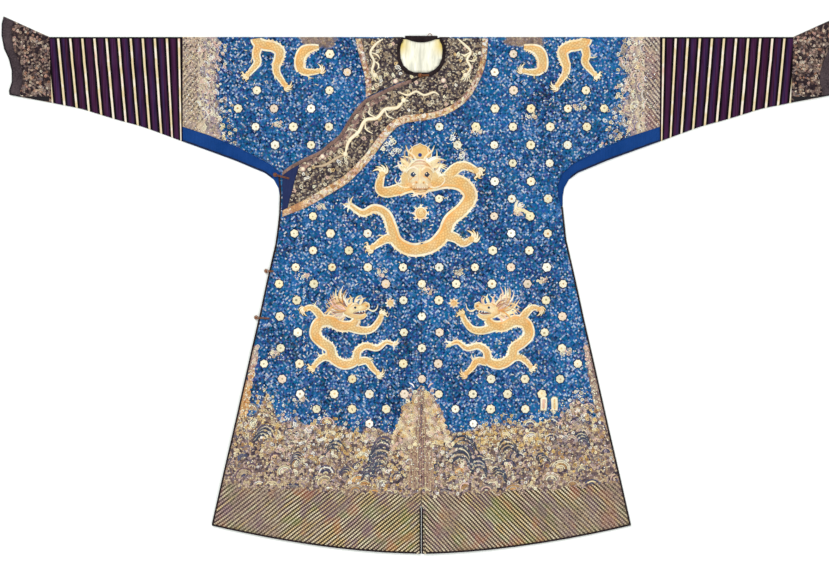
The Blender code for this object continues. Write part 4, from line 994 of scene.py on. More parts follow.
def front_face(work, at):
    """A dragon's head seen from the front, with its mane, horns and flaming crown."""
    for side in (1, -1):
        for angle, long in ((4, 44), (18, 52), (32, 58), (46, 60), (60, 58), (-10, 34), (-26, 28)):
            a = math.radians(angle)
            lock = within(
                at, side * 24 * math.cos(a), 58 + 30 * math.sin(a), angle if side > 0 else 180 - angle
            )
            wisps(work, lock, 3, long * 0.86, 12, (CREAM, PALE_GOLD, BEIGE, WHITE), half=3.2)
        work.ribbon(
            at, [(side * 9, 98, 3.6), (side * 17, 113, 3.4), (side * 31, 124, 2.8), (side * 37, 139, 0.6)],
            CREAM, 1.6, edge=OCHRE, lift=0.8,
        )
        work.ribbon(
            at, [(side * 22, 118, 2.6), (side * 20, 130, 2.0), (side * 25, 140, 0.4)], CREAM, 1.2, lift=0.8
        )
        ear = [(side * a, b) for a, b in ((27, 78), (36, 84), (49, 98), (52, 108), (40, 103), (28, 92))]
        work.blob(at, ear, PALE_GOLD, 1.0, edge=OCHRE, lift=0.6)
    crown = [
        (-28, 110), (-17, 105), (0, 103), (17, 105), (28, 110), (29, 121), (22, 131), (14, 137), (7, 139),
        (0, 143), (-7, 139), (-14, 137), (-22, 131), (-29, 121),
    ]
    work.blob(at, [(u * 1.1, 120 + (v - 120) * 1.1) for u, v in crown], CREAM, 0.7, lift=0.2)
    work.blob(at, crown, GOLD, 1.4, edge=OCHRE, lift=0.6)
    work.disc(at, 0, 114, 6.0, INDIGO, 1.2, edge=CREAM, core=rgb(30, 60, 150), lift=1.6)
    face = [(0, 14), (13, 16), (24, 24), (31, 38), (30, 52), (35, 66), (31, 82), (20, 95), (8, 101)]
    face += [(-u, v) for u, v in reversed(face) if u]
    work.blob(
        at, [(u * 1.1, 58 + (v - 58) * 1.08) for u, v in face], CREAM, 0.9, lift=1.0,
        levels=((1, 0), (0.9, 0.9), (0.5, 1)),
    )
    work.blob(
        at, face, rgb(232, 204, 156), 1.8, edge=OCHRE, lift=1.5, core=rgb(240, 223, 188),
        levels=((1, 0), (0.86, 0.8), (0.45, 1)),
    )
    for side in (1, -1):
        lobe = [(side * a, b) for a, b in ((25, 22), (40, 26), (49, 42), (49, 62), (40, 74), (30, 70))]
        work.blob(at, lobe, rgb(234, 202, 146), 1.2, edge=CREAM, lift=1.2)
        brow = [(side * 4, 74, 2.4), (side * 14, 82, 3.6), (side * 27, 79, 3.2), (side * 36, 68, 1.0)]
        work.ribbon(at, brow, CREAM, 1.2, edge=OCHRE, lift=3.0)
        work.disc(at, side * 18, 64, 8.4, CREAM, 1.0, edge=rgb(206, 170, 130), lift=2.7, sides=14, tall=0.9)
        work.disc(
            at, side * 18, 63.5, 6.6, rgb(44, 62, 92), 0.9, edge=rgb(24, 30, 48), lift=3.6, sides=9,
            wave=0.12, petals=5,
        )
        # a small white dot in each eye: a painted highlight
        work.disc(at, side * 16.5, 65.5, 1.7, WHITE, 0.5, lift=4.6, sides=6)
        work.ribbon(
            at, [(side * 9, 58, 1.6), (side * 19, 56, 2.0), (side * 27, 48, 1.2)], shade(ORANGE, 0.9), 0.7,
            lift=3.0,
        )
        work.disc(at, side * 9.5, 43, 5.6, PALE_GOLD, 1.4, edge=OCHRE, core=ORANGE, lift=2.8, sides=12)
        work.disc(at, side * 9.0, 41.5, 1.5, rgb(150, 112, 86), 0.6, lift=4.0, sides=8)
        whisker = [
            (side * 15, 40, 2.6), (side * 32, 30, 2.4), (side * 52, 34, 2.1), (side * 64, 48, 1.6),
            (side * 60, 58, 0.5),
        ]
        work.ribbon(at, whisker, CREAM, 1.2, edge=PALE_GOLD, lift=2.4)
        work.disc(
            at, side * 25, 36, 7.0, rgb(240, 206, 160), 1.3, edge=rgb(222, 178, 134), lift=2.4, sides=12
        )
        wisps(work, within(at, side * 8, 17, -90 + side * 24), 3, 17, 30, (CREAM, WHITE), half=2.2, lift=0.8)
    work.ribbon(
        at, [(0, 84, 2.2), (0, 68, 4.2), (0, 54, 5.2), (0, 44, 6.6), (0, 39, 4.0)], PALE_GOLD, 1.4,
        edge=OCHRE, lift=2.9,
    )
    work.ribbon(
        at, [(-25, 31, 1.0), (-14, 27, 3.2), (0, 26, 3.8), (14, 27, 3.2), (25, 31, 1.0)],
        rgb(200, 160, 120), 0.7, lift=3.1,
    )
    for u, v in ((-13, 24.5), (0, 23.5), (13, 24.5)):
        work.ribbon(
            at, [(u - 5, v, 0.5), (u, v + 0.6, 1.7), (u + 5, v, 0.5)], rgb(134, 104, 82), 0.7, lift=3.4
        )
    for k in range(5):   # the forehead's rows of couched thread
        wide = 24 - 2.6 * k
        tint = rgb(232, 190, 170) if k % 2 == 0 else rgb(250, 236, 206)
        work.ribbon(
            at, [(-wide, 80 + 4.2 * k, 0.6), (0, 83 + 4.2 * k, 1.5), (wide, 80 + 4.2 * k, 0.6)], tint, 0.7,
            lift=3.0,
        )
    for k in range(-3, 4):
        work.ribbon(
            at, [(k * 6, 32.5 - abs(k) * 0.2, 2.1), (k * 6, 29.5, 1.6), (k * 6, 27.5, 0.3)], CREAM, 0.6,
            per=1, lift=3.7,
        )


def side_face(work, at):
    """A dragon's head in profile, facing +u, with its jaws open and its mane streaming back."""
    for k in range(9):
        a = 96 + 17 * k
        lock = within(
            at, -8 + 4 * math.cos(math.radians(a)), 2 + 12 * math.sin(math.radians(a)), 0.72 * a + 48
        )
        wisps(
            work, lock, 3, 58 - 2.4 * abs(k - 3), 14, (CREAM, PALE_GOLD, BEIGE, WHITE, PINK, GOLD),
            half=3.2, lift=0.3,
        )
    for u, v, a in ((2, 18, 78), (14, 19, 66), (26, 15, 58), (-8, 16, 96)):
        wisps(work, within(at, u, v, a), 2, 24, 22, (CREAM, PALE_GOLD, PINK, WHITE), half=2.6, lift=0.5)
    work.ribbon(
        at, [(-2, 16, 3.6), (-14, 32, 3.2), (-32, 40, 2.4), (-44, 36, 0.5)], CREAM, 1.5, edge=OCHRE,
        lift=0.9,
    )
    work.ribbon(at, [(-14, 31, 2.6), (-14, 43, 1.9), (-22, 50, 0.4)], CREAM, 1.2, lift=0.9)
    jaw = [(-2, -9, 6.0), (14, -16, 5.6), (29, -17, 4.6), (39, -11, 2.4)]
    work.ribbon(at, [(u, v, h + 1.8) for u, v, h in jaw], CREAM, 0.8, lift=0.8)
    work.ribbon(at, jaw, GOLD, 1.3, edge=OCHRE, lift=1.2)
    work.ribbon(
        at, [(6, -5, 1.2), (20, -8, 1.9), (33, -7, 1.3), (42, -3, 0.4)], rgb(142, 98, 84), 0.9, lift=1.6
    )
    skull = [
        (-19, -6), (-17, 9), (-7, 19), (7, 21), (17, 14), (30, 14), (38, 19), (47, 14), (48, 5), (40, -1),
        (25, -2), (9, -4), (-4, -14),
    ]
    work.blob(
        at, [(14 + (u - 14) * 1.09, 4 + (v - 4) * 1.14) for u, v in skull], CREAM, 0.8, lift=1.0,
        levels=((1, 0), (0.9, 0.9), (0.5, 1)),
    )
    work.blob(at, skull, GOLD, 1.6, edge=OCHRE, lift=1.5, core=PALE_GOLD)
    work.disc(at, 42, 9.5, 6.2, PALE_GOLD, 1.2, edge=OCHRE, core=ORANGE, lift=2.6, sides=12)
    work.disc(at, 44, 8.5, 2.0, DARK, 0.5, lift=3.6, sides=8)
    work.disc(at, 12, 8.5, 5.4, CREAM, 1.0, edge=rgb(190, 150, 116), lift=2.8, sides=12)
    work.disc(at, 13, 8.2, 3.4, rgb(44, 62, 92), 0.7, edge=rgb(24, 30, 48), lift=3.6, sides=10)
    wisps(
        work, within(at, -10, 4, 158), 6, 52, 44, (rgb(226, 176, 148), rgb(206, 156, 116), PINK, ORANGE),
        half=1.5, lift=2.4,
    )
    wisps(
        work, within(at, -6, 12, 130), 4, 40, 30, (rgb(150, 112, 100), rgb(226, 176, 148), WHITE), half=1.2,
        lift=2.6,
    )
    work.ribbon(at, [(1, 12, 2.0), (10, 18, 3.0), (22, 16, 1.4)], CREAM, 1.0, edge=OCHRE, lift=3.0)
    for u in (22, 29, 36):
        work.ribbon(at, [(u, -1, 1.9), (u + 0.5, -4, 1.4), (u + 1, -7, 0.3)], WHITE, 0.6, per=1, lift=2.4)
    work.ribbon(at, [(44, 3, 1.9), (57, -6, 1.9), (68, 0, 1.6), (72, 12, 0.4)], CREAM, 0.9, lift=1.5)
    wisps(work, within(at, 14, -18, -80), 4, 20, 40, (CREAM, WHITE, PALE_GOLD), half=2.2, lift=0.4)


CURL_TURNS = 1.35


def pearl(work, at, radius):
    """A flaming pearl."""
    for a in range(0, 360, 45):
        rim = within(at, radius * math.cos(math.radians(a)), radius * math.sin(math.radians(a)), a)
        wisps(work, rim, 2, radius * 0.62, 30, (CREAM, WHITE, PINK, PALE_GOLD), half=2.2)
    work.disc(at, 0, 0, radius * 1.12, CREAM, 0.8, sides=20, wave=0.06, petals=7, lift=0.4)
    work.disc(at, 0, 0, radius * 0.94, GOLD, 1.4, edge=rgb(222, 168, 112), core=PALE_GOLD, sides=20, lift=0.8)
    curl(work, at, radius * 0.60, rgb(224, 178, 124), half=1.5, lift=2.0)


def curl(work, at, radius, tint, half=1.6, lift=0.3, keep=None):
    """A spiral of foam or cloud."""
    rows = []
    for k in range(13):
        t = k / 12
        r, a = radius * (1 - 0.78 * t), 2 * math.pi * CURL_TURNS * t
        rows.append((r * math.cos(a), r * math.sin(a), half * (1 - 0.35 * t)))
    work.ribbon(at, rows, tint, 0.9, per=1, lift=lift, keep=keep)


def cloud(work, at, tones, keep=None):
    """A loose cluster of curled cloud heads and knots."""
    for _ in range(6):
        u, v = vary(-17, 17), vary(-9, 9)
        tint = pick(tones)
        curl(work, within(at, u, v, any_turn()), vary(4.5, 7.5), tint, half=1.5, lift=0.7, keep=keep)
    for _ in range(30):
        u, v = chance.gauss(0, 14), chance.gauss(0, 8)
        if not keep or keep(*at(u, v)):
            work.disc(at, u, v, vary(1.2, 2.3), pick(tones + (WHITE, CREAM)), 0.8, sides=6, lift=0.9)


def dragon_front(work, at):
    """The chest dragon: facing forward over a body that loops round its pearl."""
    limb(work, at, [(66, -92, 12), (92, -100, 10.5), (112, -114, 8.0), (132, -104, 6.5)], lift=0.2)
    limb(
        work, at, [(-58, -104, 12), (-84, -102, 10), (-104, -112, 7.5), (-122, -124, 6.0)], lift=0.2,
        curl=-1,
    )
    scaled_body(work, at, [
        (-58, 20, 11), (-28, 34, 14), (24, 38, 15), (70, 47, 16), (110, 38, 16), (130, 8, 15),
        (110, -26, 14.5), (78, -54, 14), (62, -90, 14.5), (30, -121, 14), (-20, -131, 13.5),
        (-60, -110, 12.5), (-74, -72, 11), (-88, -38, 9), (-118, -24, 7.5), (-148, -36, 6),
        (-180, -16, 3.5),
    ], lift=0.6, rim=4.2)
    wisps(work, within(at, -176, -18, 160), 6, 26, 60, (CREAM, WHITE, PALE_GOLD), half=2.6)
    limb(work, at, [(-40, 30, 13), (-84, 18, 11.5), (-104, 26, 9.5), (-103, 48, 8), (-98, 64, 6.5)], lift=1.2)
    limb(work, at, [(72, 58, 13), (94, 80, 11.5), (118, 86, 9), (144, 74, 6.5)], lift=1.2, curl=-1)
    pearl(work, within(at, 2, -36), 15)
    front_face(work, at)


def dragon_side(work, at):
    """A skirt dragon in profile, chasing its pearl towards the centre of the robe."""
    limb(work, at, [(-36, -58, 9), (-64, -50, 8), (-84, -62, 6), (-96, -76, 5)], lift=0.2, curl=-1)
    limb(work, at, [(22, -64, 9), (48, -60, 8), (62, -78, 6), (78, -94, 5)], lift=0.2)
    scaled_body(work, at, [
        (22, 52, 8), (6, 36, 11), (-22, 34, 13), (-52, 48, 13.5), (-82, 42, 13), (-92, 12, 12.5),
        (-74, -10, 12), (-52, -26, 12), (-44, -52, 11.5), (-14, -70, 11), (16, -62, 9.5), (24, -34, 8),
        (46, -20, 7), (76, -26, 5.5), (100, -10, 3.5), (118, -14, 2.5),
    ], lift=0.6, rim=3.2)
    wisps(work, within(at, 116, -14, -10), 5, 22, 55, (CREAM, WHITE, PALE_GOLD), half=2.3)
    limb(work, at, [(-70, 50, 9), (-88, 74, 8), (-104, 84, 6), (-118, 80, 5)], lift=1.0)
    limb(work, at, [(0, 32, 10), (34, 22, 8.5), (62, 26, 7), (80, 46, 6), (88, 62, 5)], lift=1.0, curl=-1)
    side_face(work, within(at, 4, 74, 6, 1.06))
    pearl(work, within(at, 112, 96), 9)


def dragon_shoulder(work, at):
    """The part of a shoulder dragon that comes over the fold: an arched body and two reaching limbs."""
    scaled_body(work, at, [
        (-72, 80, 12), (-70, 58, 12), (-50, 48, 12), (-26, 44, 12), (-8, 30, 12), (-12, 8, 10), (-18, -8, 9),
    ], lift=0.4, keep=on_ground)
    limb(work, at, [(-18, 0, 9), (-16, -26, 8), (-4, -46, 6), (8, -62, 5)], lift=0.2, keep=on_ground)
    limb(
        work, at, [(-66, 44, 10), (-72, 22, 9), (-68, 2, 8), (-82, -18, 6), (-95, -32, 5)], lift=0.8,
        keep=on_ground, curl=-1,
    )
    scaled_body(work, at, [
        (98, 42, 4), (78, 40, 8), (58, 32, 12), (48, 14, 12), (46, -8, 11), (50, -22, 9),
    ], lift=0.4, keep=on_ground)
    limb(work, at, [(50, -18, 9), (62, -25, 8), (82, -25, 6), (98, -22, 5)], lift=0.8, keep=on_ground)


def waves(work, at, mounds, pitch, keep, blocked):
    """Overlapping scales of nested arcs: each mound (u, v, radius, turn, tones) lies over those before it."""
    for index, (u, v, radius, turn, tones) in enumerate(mounds):
        front = [m for m in mounds[index + 1:] if math.hypot(m[0] - u, m[1] - v) < m[2] + radius]
        local = within(at, u, v, turn)
        c, s = math.cos(math.radians(turn)), math.sin(math.radians(turn))
        for k in range(int(radius / pitch)):
            r = radius - pitch * (k + 0.5)
            half = pitch * vary(0.30, 0.44)
            tone = pick(tones, 0.15)
            run, steps = [], max(int(r / 2.4), 6)
            for i in range(steps + 2):
                a = math.pi * (0.02 + 0.96 * i / steps)
                p, q = r * math.cos(a), 0.92 * r * math.sin(a)
                pu, pv = u + p * c - q * s, v + p * s + q * c
                hidden = i > steps or blocked(pu, pv) or any(
                    math.hypot(pu - m[0], (pv - m[1]) / 0.92) < m[2] and pv > m[1] - 3 for m in front
                )
                if not hidden:
                    run.append((p, q, half))
                    continue
                if len(run) > 2:
                    work.ribbon(local, run, tone, 0.9, edge=shade(tone, 0.6), per=1, keep=keep, lift=0.15)
                run = []


def rock(work, at, wide, tall, pitch, tones, keep=None):
    """A standing rock of nested blunt arches, speckled with knots."""
    layers = int(wide / pitch)
    for k in range(layers):
        w = wide * (1 - 0.93 * k / layers)
        t = tall - 1.5 * (wide - w)
        half = pitch * vary(0.32, 0.44)
        tone = shade(uneven(tones[k % len(tones)], 0.1), 0.84)
        for side in (1, -1):
            rows = [(side * w * share, t * up, half) for up, share in ROCK_SHAPE[:-1]]
            rows.append((side * half * 0.3, t, half * 0.7))
            work.ribbon(at, rows, tone, 1.0, edge=shade(tone, 0.7), per=5, keep=keep, lift=0.3)
    for side in (1, -1):
        work.ribbon(
            at, [(side * 3.2, tall * k / 20, 2.5) for k in range(20)], rgb(158, 126, 118), 0.6, per=1,
            keep=keep, lift=0.2,
        )
    for _ in range(int(wide * tall / 11)):
        up = vary(0.02, 0.97)
        u = vary(-1, 1) * wide * between(ROCK_SHAPE, up)
        if not keep or keep(*at(u, up * tall)):
            tint = pick(tones + (WHITE, CREAM, PALE_GOLD, rgb(96, 66, 66), rgb(140, 96, 88), rgb(84, 64, 74)))
            work.disc(at, u, up * tall, vary(1.1, 2.2), shade(tint, 0.92), 0.9, sides=5, lift=1.1)


# ---- Laying out the robe -----------------------------------------------------------------------------
FOAM_CURLS, FOAM_KNOTS, HEAPED_CURLS, BANK_CURLS = 1300, 3000, 230, 330
SLEEVE_CURLS, SLEEVE_KNOTS, CUFF_CURLS, COLLAR_CURLS = 90, 760, 170, 330
TRIM_CURLS, TRIM_TRIES, FLECKS, ROSETTE_ROWS = 520, 9000, 1500, 26
SEA_TOP = (
    (0.00, 1.075), (0.10, 1.088), (0.15, 1.070), (0.22, 1.045), (0.30, 1.052), (0.36, 1.028),
    (0.395, 1.006), (0.420, 0.972), (0.45, 0.996), (0.60, 0.96),
)
SLEEVE_BORDER = ((0.0, 0.560), (0.06, 0.548), (0.12, 0.560), (0.20, 0.528), (0.30, 0.505))


def stripe_top(x):
    return STRIPE_TOP - STRIPE_RISE * (abs(x) / 0.55) ** HEM_BEND


def in_sea(x, drop):
    return drop > between(SEA_TOP, abs(x)) - 0.012


def in_border(x, drop):
    return drop < 0.32 and abs(x) > between(SLEEVE_BORDER, drop) - 0.014


NEAR = 0.01   # the cell in which the dragons' places are kept


def cell_of(x, drop):
    return round(x / NEAR), round(drop / NEAR)


def under_dragon(x, drop, taken):
    """Whether stitches of the dragons already lie near a place."""
    i, j = cell_of(x, drop)
    return any((i + a, j + b) in taken for a in (-1, 0, 1) for b in (-1, 0, 1))


def covered(x, drop, taken):
    return in_sea(x, drop) or in_rock(x, drop) or under_dragon(x, drop, taken)


def stray_curl(work, x, drop, sizes, tint, half, keep, lift):
    """A curl turned anyhow, of a size between two."""
    curl(work, spot(x, drop, any_turn()), vary(*sizes), tint, half=half, lift=lift, keep=keep)


def knot(work, x, drop, sizes, tint, rise=0.8, sides=5, lift=1.1):
    """One knotted stitch."""
    work.disc(spot(x, drop), 0, 0, vary(*sizes), tint, rise, sides=sides, lift=lift)


def lay_rosettes(taken):
    work = Stitches("rosettes")
    for row in range(ROSETTE_ROWS):   # evenly apart down to the eighth row, and then closer and closer
        m = row - 7
        drop = (46 + 49.4 * row if row <= 7 else 391 + 48.2 * m - 0.29 * m * m) / 1000
        step = 0.0995 - 0.0055 * min(max((drop - 0.35) / 0.6, 0), 1)
        for k in range(-7, 8):
            x = (k + (0.5 if row % 2 == 0 else 0)) * step + vary(-0.002, 0.002)
            y = SHOULDER_Y - drop
            if covered(x, drop, taken) or in_bank(x, drop) or in_border(x, drop):
                continue
            if all(piece_at(x + a, y + b) in GROUND for a in (-0.015, 0.015) for b in (-0.015, 0.015)):
                rosette(work, spot(x, drop, vary(0, 60)))
    return work.build()


def lay_dragons():
    chest = Stitches("chest_dragon", material=GOLD_THREAD)
    dragon_front(chest, spot(-0.0035, 0.440, size=1.05))
    skirt = Stitches("skirt_dragons", material=GOLD_THREAD)
    dragon_side(skirt, spot(-0.196, 0.818))
    dragon_side(skirt, spot(0.200, 0.818, flip=-1))
    shoulders = Stitches("shoulder_dragons", material=GOLD_THREAD)
    dragon_shoulder(shoulders, spot(-0.376, 0.070))
    dragon_shoulder(shoulders, spot(0.376, 0.070, flip=-1))
    taken = {cell_of(x, SHOULDER_Y - y) for w in (chest, skirt, shoulders) for x, y, _ in w.verts}
    for w in (chest, skirt, shoulders):
        w.build()
    return taken


WARM = (CREAM, PALE_GOLD, GOLD, ORANGE, OCHRE, BEIGE)
COOL = (PINK, BEIGE, GREY, CREAM, INDIGO, PLUM, BEIGE)
PLAIN = (CREAM, BEIGE, OCHRE, PINK, PALE_GOLD, GREY)
DEEP = (INDIGO, WHITE, INDIGO, rgb(70, 84, 120), GREY, INDIGO, PALE_GOLD)
FOAM_WARM = (CREAM, PALE_GOLD, GOLD, rgb(232, 196, 120), OCHRE, WHITE)
FOAM_COOL = (PINK, BEIGE, rgb(186, 168, 176), CREAM, GREY, WHITE)
CREST_DARK = (rgb(58, 64, 84), rgb(64, 72, 92), rgb(84, 76, 96))
CREST_LIGHT = (rgb(226, 214, 186), GREY, BEIGE)
SPECKS = (
    WHITE, CREAM, PALE_GOLD, PINK, INDIGO, rgb(64, 48, 52), OCHRE, rgb(90, 76, 84), CREAM, rgb(60, 58, 70)
)
BANK_WARM = (OCHRE, ORANGE, rgb(214, 150, 84), CREAM, rgb(178, 116, 72))
BANK_BROWN = (BEIGE, rgb(150, 118, 104), GREY, rgb(122, 92, 88), CREAM, rgb(176, 142, 124))
BANK_COOL = (PINK, BEIGE, GREY, rgb(200, 172, 184), CREAM, rgb(214, 176, 160))
SLEEVE_TONES = (CREAM, BEIGE, PINK, GREY, WHITE, rgb(226, 210, 186), rgb(150, 140, 168))


def tones_at(x, drop):
    """The colours of a stretch of sea."""
    value = noise.noise((9 * x, 9 * drop, 2.0)) + 0.16 - 0.7 * abs(x)
    if noise.noise((13 * x, 15 * drop, 8.0)) > 0.22:
        return DEEP
    return WARM if value > 0.14 else COOL if value < -0.06 else PLAIN


# shares of a rock's height, each with the share of its half width there
ROCK_SHAPE = ((0.0, 1.0), (0.20, 0.92), (0.45, 0.84), (0.80, 0.60), (0.94, 0.36), (1.0, 0.0))
Rock = namedtuple("Rock", "x foot wide tall turn tones")
ROCKS = (   # it stands on the centre seam
    Rock(0.0, 1.222, 34, 276, 0, (
        rgb(214, 178, 152), rgb(200, 164, 144), rgb(220, 192, 158), rgb(206, 172, 148), rgb(192, 156, 138),
        rgb(224, 200, 164), rgb(140, 112, 110),
    )),
)
BANK_TOP, BANK_FOOT = 0.836, 1.035


def bank_width(drop):
    """How far the banked clouds along each side edge reach in, at a drop."""
    return 0.013 + 0.05 * (drop - BANK_TOP)


def in_bank(x, drop):
    return BANK_TOP < drop < BANK_FOOT and side_half(drop) - abs(x) < bank_width(drop) + 0.014


def in_rock(x, drop):
    for r in ROCKS:
        c, s = math.cos(math.radians(r.turn)), math.sin(math.radians(r.turn))
        right, up = 1000 * (x - r.x), 1000 * (r.foot - drop)
        u, v = right * c + up * s, (up * c - right * s) / r.tall
        if 0 <= v <= 1 and abs(u) < r.wide * between(ROCK_SHAPE, v):
            return True
    return False


def lay_sea():
    work = Stitches("sea_waves")
    at = spot(0, 0)

    def blocked(u, v):
        return in_rock(u / 1000, -v / 1000) or -v / 1000 > stripe_top(u / 1000)

    mounds = []
    for row in range(12):
        for k in range(-17, 18):
            x = (k + 0.5 * (row % 2)) * 0.038 + vary(-0.012, 0.012)
            drop = 1.030 + 0.0195 * row - 0.030 * (abs(x) / 0.55) ** HEM_BEND + vary(-0.010, 0.010)
            if abs(x) < 0.60 and drop > between(SEA_TOP, abs(x)) and chance.random() < 0.42:
                radius, turn = chance.choice((13, 16, 21, 26)), chance.triangular(-62, 62)
                mounds.append((x * 1000, -drop * 1000, radius, turn, tones_at(x, drop)))
    waves(work, at, mounds, 4.7, on_ground, blocked)
    work.build()

    rocks = Stitches("sea_rocks")
    for r in ROCKS:
        rock(rocks, spot(r.x, r.foot, r.turn), r.wide, r.tall, 4.6, r.tones, on_ground)
    for side in (1, -1):
        for k in range(9):
            drop = 0.945 + 0.014 * k
            strokes = spot(side * (0.026 + 0.0040 * k), drop, 42 * side)
            rocks.ribbon(
                strokes, [(-9, 0, 0.8), (0, 3, 2.4), (9, 0, 0.5)], pick((CREAM, WHITE, PINK)), 0.9,
                keep=on_ground,
            )
    rocks.build()

    foam = Stitches("sea_foam")
    for _ in range(FOAM_CURLS):
        x = vary(-0.56, 0.56)
        top = between(SEA_TOP, abs(x))
        drop = top + chance.triangular(-0.024, 0.20, 0.02)
        if in_rock(x, drop) or drop > stripe_top(x) + 0.002 + 0.030 * noise.noise((8 * x, 3.1, 5.0)):
            continue
        place = spot(x, drop, any_turn(), flip=chance.choice((1, -1)))
        tint = pick(FOAM_WARM if noise.noise((8 * x, 8 * drop, 6.0)) > 0.0 else FOAM_COOL, 0.08)
        curl(foam, place, vary(3.2, 5.8), tint, half=vary(0.9, 1.3), lift=0.9, keep=on_ground)
    for _ in range(FOAM_KNOTS):
        x = vary(-0.56, 0.56)
        drop = between(SEA_TOP, abs(x)) + chance.triangular(-0.060, 0.24, 0.02)
        if on_ground(x, SHOULDER_Y - drop) and not in_rock(x, drop) and drop < stripe_top(x):
            tint = pick(SPECKS)
            knot(foam, x, drop, (1.1, 2.2), tint)
    for side in (1, -1):   # foam heaped against the middle rock
        for _ in range(HEAPED_CURLS):
            drop = chance.triangular(0.952, 1.125, 1.06)
            reach = 0.018 + 0.40 * (drop - 0.952)
            x = side * (vary(0.1, 1.0) * reach + 0.008)
            tint = pick((
                PALE_GOLD, CREAM, BEIGE, rgb(222, 184, 118), PINK, rgb(150, 120, 110), rgb(170, 140, 124),
            ))
            stray_curl(foam, x, drop, (3.5, 7.5), tint, 1.4, on_ground, 1.8)
    foam.build()


def lay_crests():
    """Dark wave heads, combed light and dark, that roll out of the foam."""
    work = Stitches("wave_crests")
    places = (
        (0.110, 1.112, 1.5), (0.104, 1.150, 1.9), (0.150, 1.178, 1.2), (0.228, 1.112, 1.2),
        (0.210, 1.186, 0.9), (0.330, 1.140, 0.8), (0.425, 1.085, 1.1),
    )
    for side in (1, -1):
        for x, drop, size in places:
            x, drop = side * (x + vary(-0.010, 0.010)), drop + vary(-0.008, 0.008)
            place = spot(x, drop, vary(-16, 16), size * vary(0.85, 1.1), side)
            lines, long = chance.choice((5, 7)), vary(0.8, 1.05)
            for k in range(lines):
                dark = k % 2 == 0
                tone = pick(CREST_DARK if dark else CREST_LIGHT)
                share, thick = long * (1 - 0.06 * k), 1.25 if dark else 0.5
                first, last = vary(0.7, 1.0), vary(0.7, 1.0)
                rows = [
                    (-27 * first, -5, 0.4), (-15, 8, 1.6), (0, 13, 2.1), (13, 6, 2.5), (24 * last, -9, 2.0),
                    (32 * last, -17, 0.4),
                ]
                rows = [(u * share + 1.2 * k, v * share - 3.3 * k + 9, half * thick) for u, v, half in rows]
                work.ribbon(place, rows, tone, 0.9, per=3, lift=0.8, keep=on_ground)
    work.build()


def lay_banks():
    """Clouds banked along the side edges, pink above, and ochre or brown below."""
    work = Stitches("side_banks")
    for side in (1, -1):
        for _ in range(BANK_CURLS):
            drop = vary(BANK_TOP, BANK_FOOT)
            x = side * (side_half(drop) - vary(0.006, bank_width(drop) + 0.004))
            if not on_ground(x, SHOULDER_Y - drop):
                continue
            ochre = side < 0 and chance.random() < (drop - 0.88) / 0.08
            tint = pick(BANK_WARM if ochre else BANK_COOL if drop < 0.9 or side < 0 else BANK_BROWN)
            if chance.random() < 0.5:
                stray_curl(work, x, drop, (3, 5.5), tint, 1.2, on_ground, 0.5)
            else:
                knot(work, x, drop, (1.4, 3.0), tint, 1.0, 7, 0.5)
    work.build()


def lay_sleeve_ends():
    work = Stitches("sleeve_end_waves")
    for side in (1, -1):
        at = spot(side * 0.645, 0.15, 90 * side)   # u runs along the seam and v towards the body

        def blocked(_, v):
            return v < 36

        mounds = []
        for row in range(5):
            for k in range(-5, 6):
                u, v = (k + 0.5 * (row % 2)) * 38 + vary(-7, 7), 84 - 12 * row + vary(-6, 6)
                mounds.append((u, v, chance.choice((13, 16, 20)), chance.triangular(-60, 60), SLEEVE_TONES))
        waves(work, at, mounds, 3.8, on_ground, blocked)
        for _ in range(SLEEVE_CURLS):
            drop = vary(0.008, 0.30)
            x = between(SLEEVE_BORDER, drop) + vary(-0.024, 0.05)
            tint = pick((WHITE, CREAM, PALE_GOLD, PINK, BEIGE, GREY), 0.06)
            stray_curl(work, side * x, drop, (3.5, 6.5), tint, 1.2, on_ground, 0.8)
        for _ in range(SLEEVE_KNOTS):
            drop = vary(0.004, 0.31)
            x = side * vary(between(SLEEVE_BORDER, drop) - 0.012, 0.643)
            if on_ground(x, SHOULDER_Y - drop):
                tint = pick((WHITE, CREAM, WHITE, PINK, PLUM, DARK, DARK, rgb(110, 96, 118), rgb(84, 66, 70)))
                knot(work, x, drop, (1.1, 2.1), tint, 0.9, 5, 0.6)
    work.build()


def lay_clouds(taken):
    work = Stitches("clouds")
    places = (
        (0.268, 0.475, 0), (-0.275, 0.462, 1), (-0.330, 0.985, 1), (0.150, 0.255, 1), (0.300, 0.215, 0),
        (-0.390, 0.235, 1), (0.430, 0.190, 0), (0.330, 0.660, 1), (-0.318, 0.650, 0), (0.395, 0.855, 0),
        (-0.400, 0.860, 1), (0.02, 0.690, 0), (0.10, 0.640, 1), (-0.110, 0.640, 0),
    )
    for x, drop, flip in places:
        if not under_dragon(x, drop, taken):
            cloud(work, spot(x, drop, vary(-15, 15), 0.8, -1 if flip else 1), (PINK, BEIGE, CREAM), on_ground)
    for x, drop, turn, size in (
        (-0.092, 0.290, 40, 1.1), (-0.072, 0.312, 20, 0.9), (0.092, 0.280, 110, 1.0),
        (0.110, 0.315, 70, 0.8),
    ):
        cloud(
            work, spot(x, drop, turn, size), (WHITE, CREAM, WHITE, rgb(196, 218, 216), rgb(40, 44, 80)),
            on_ground,
        )
    work.build()


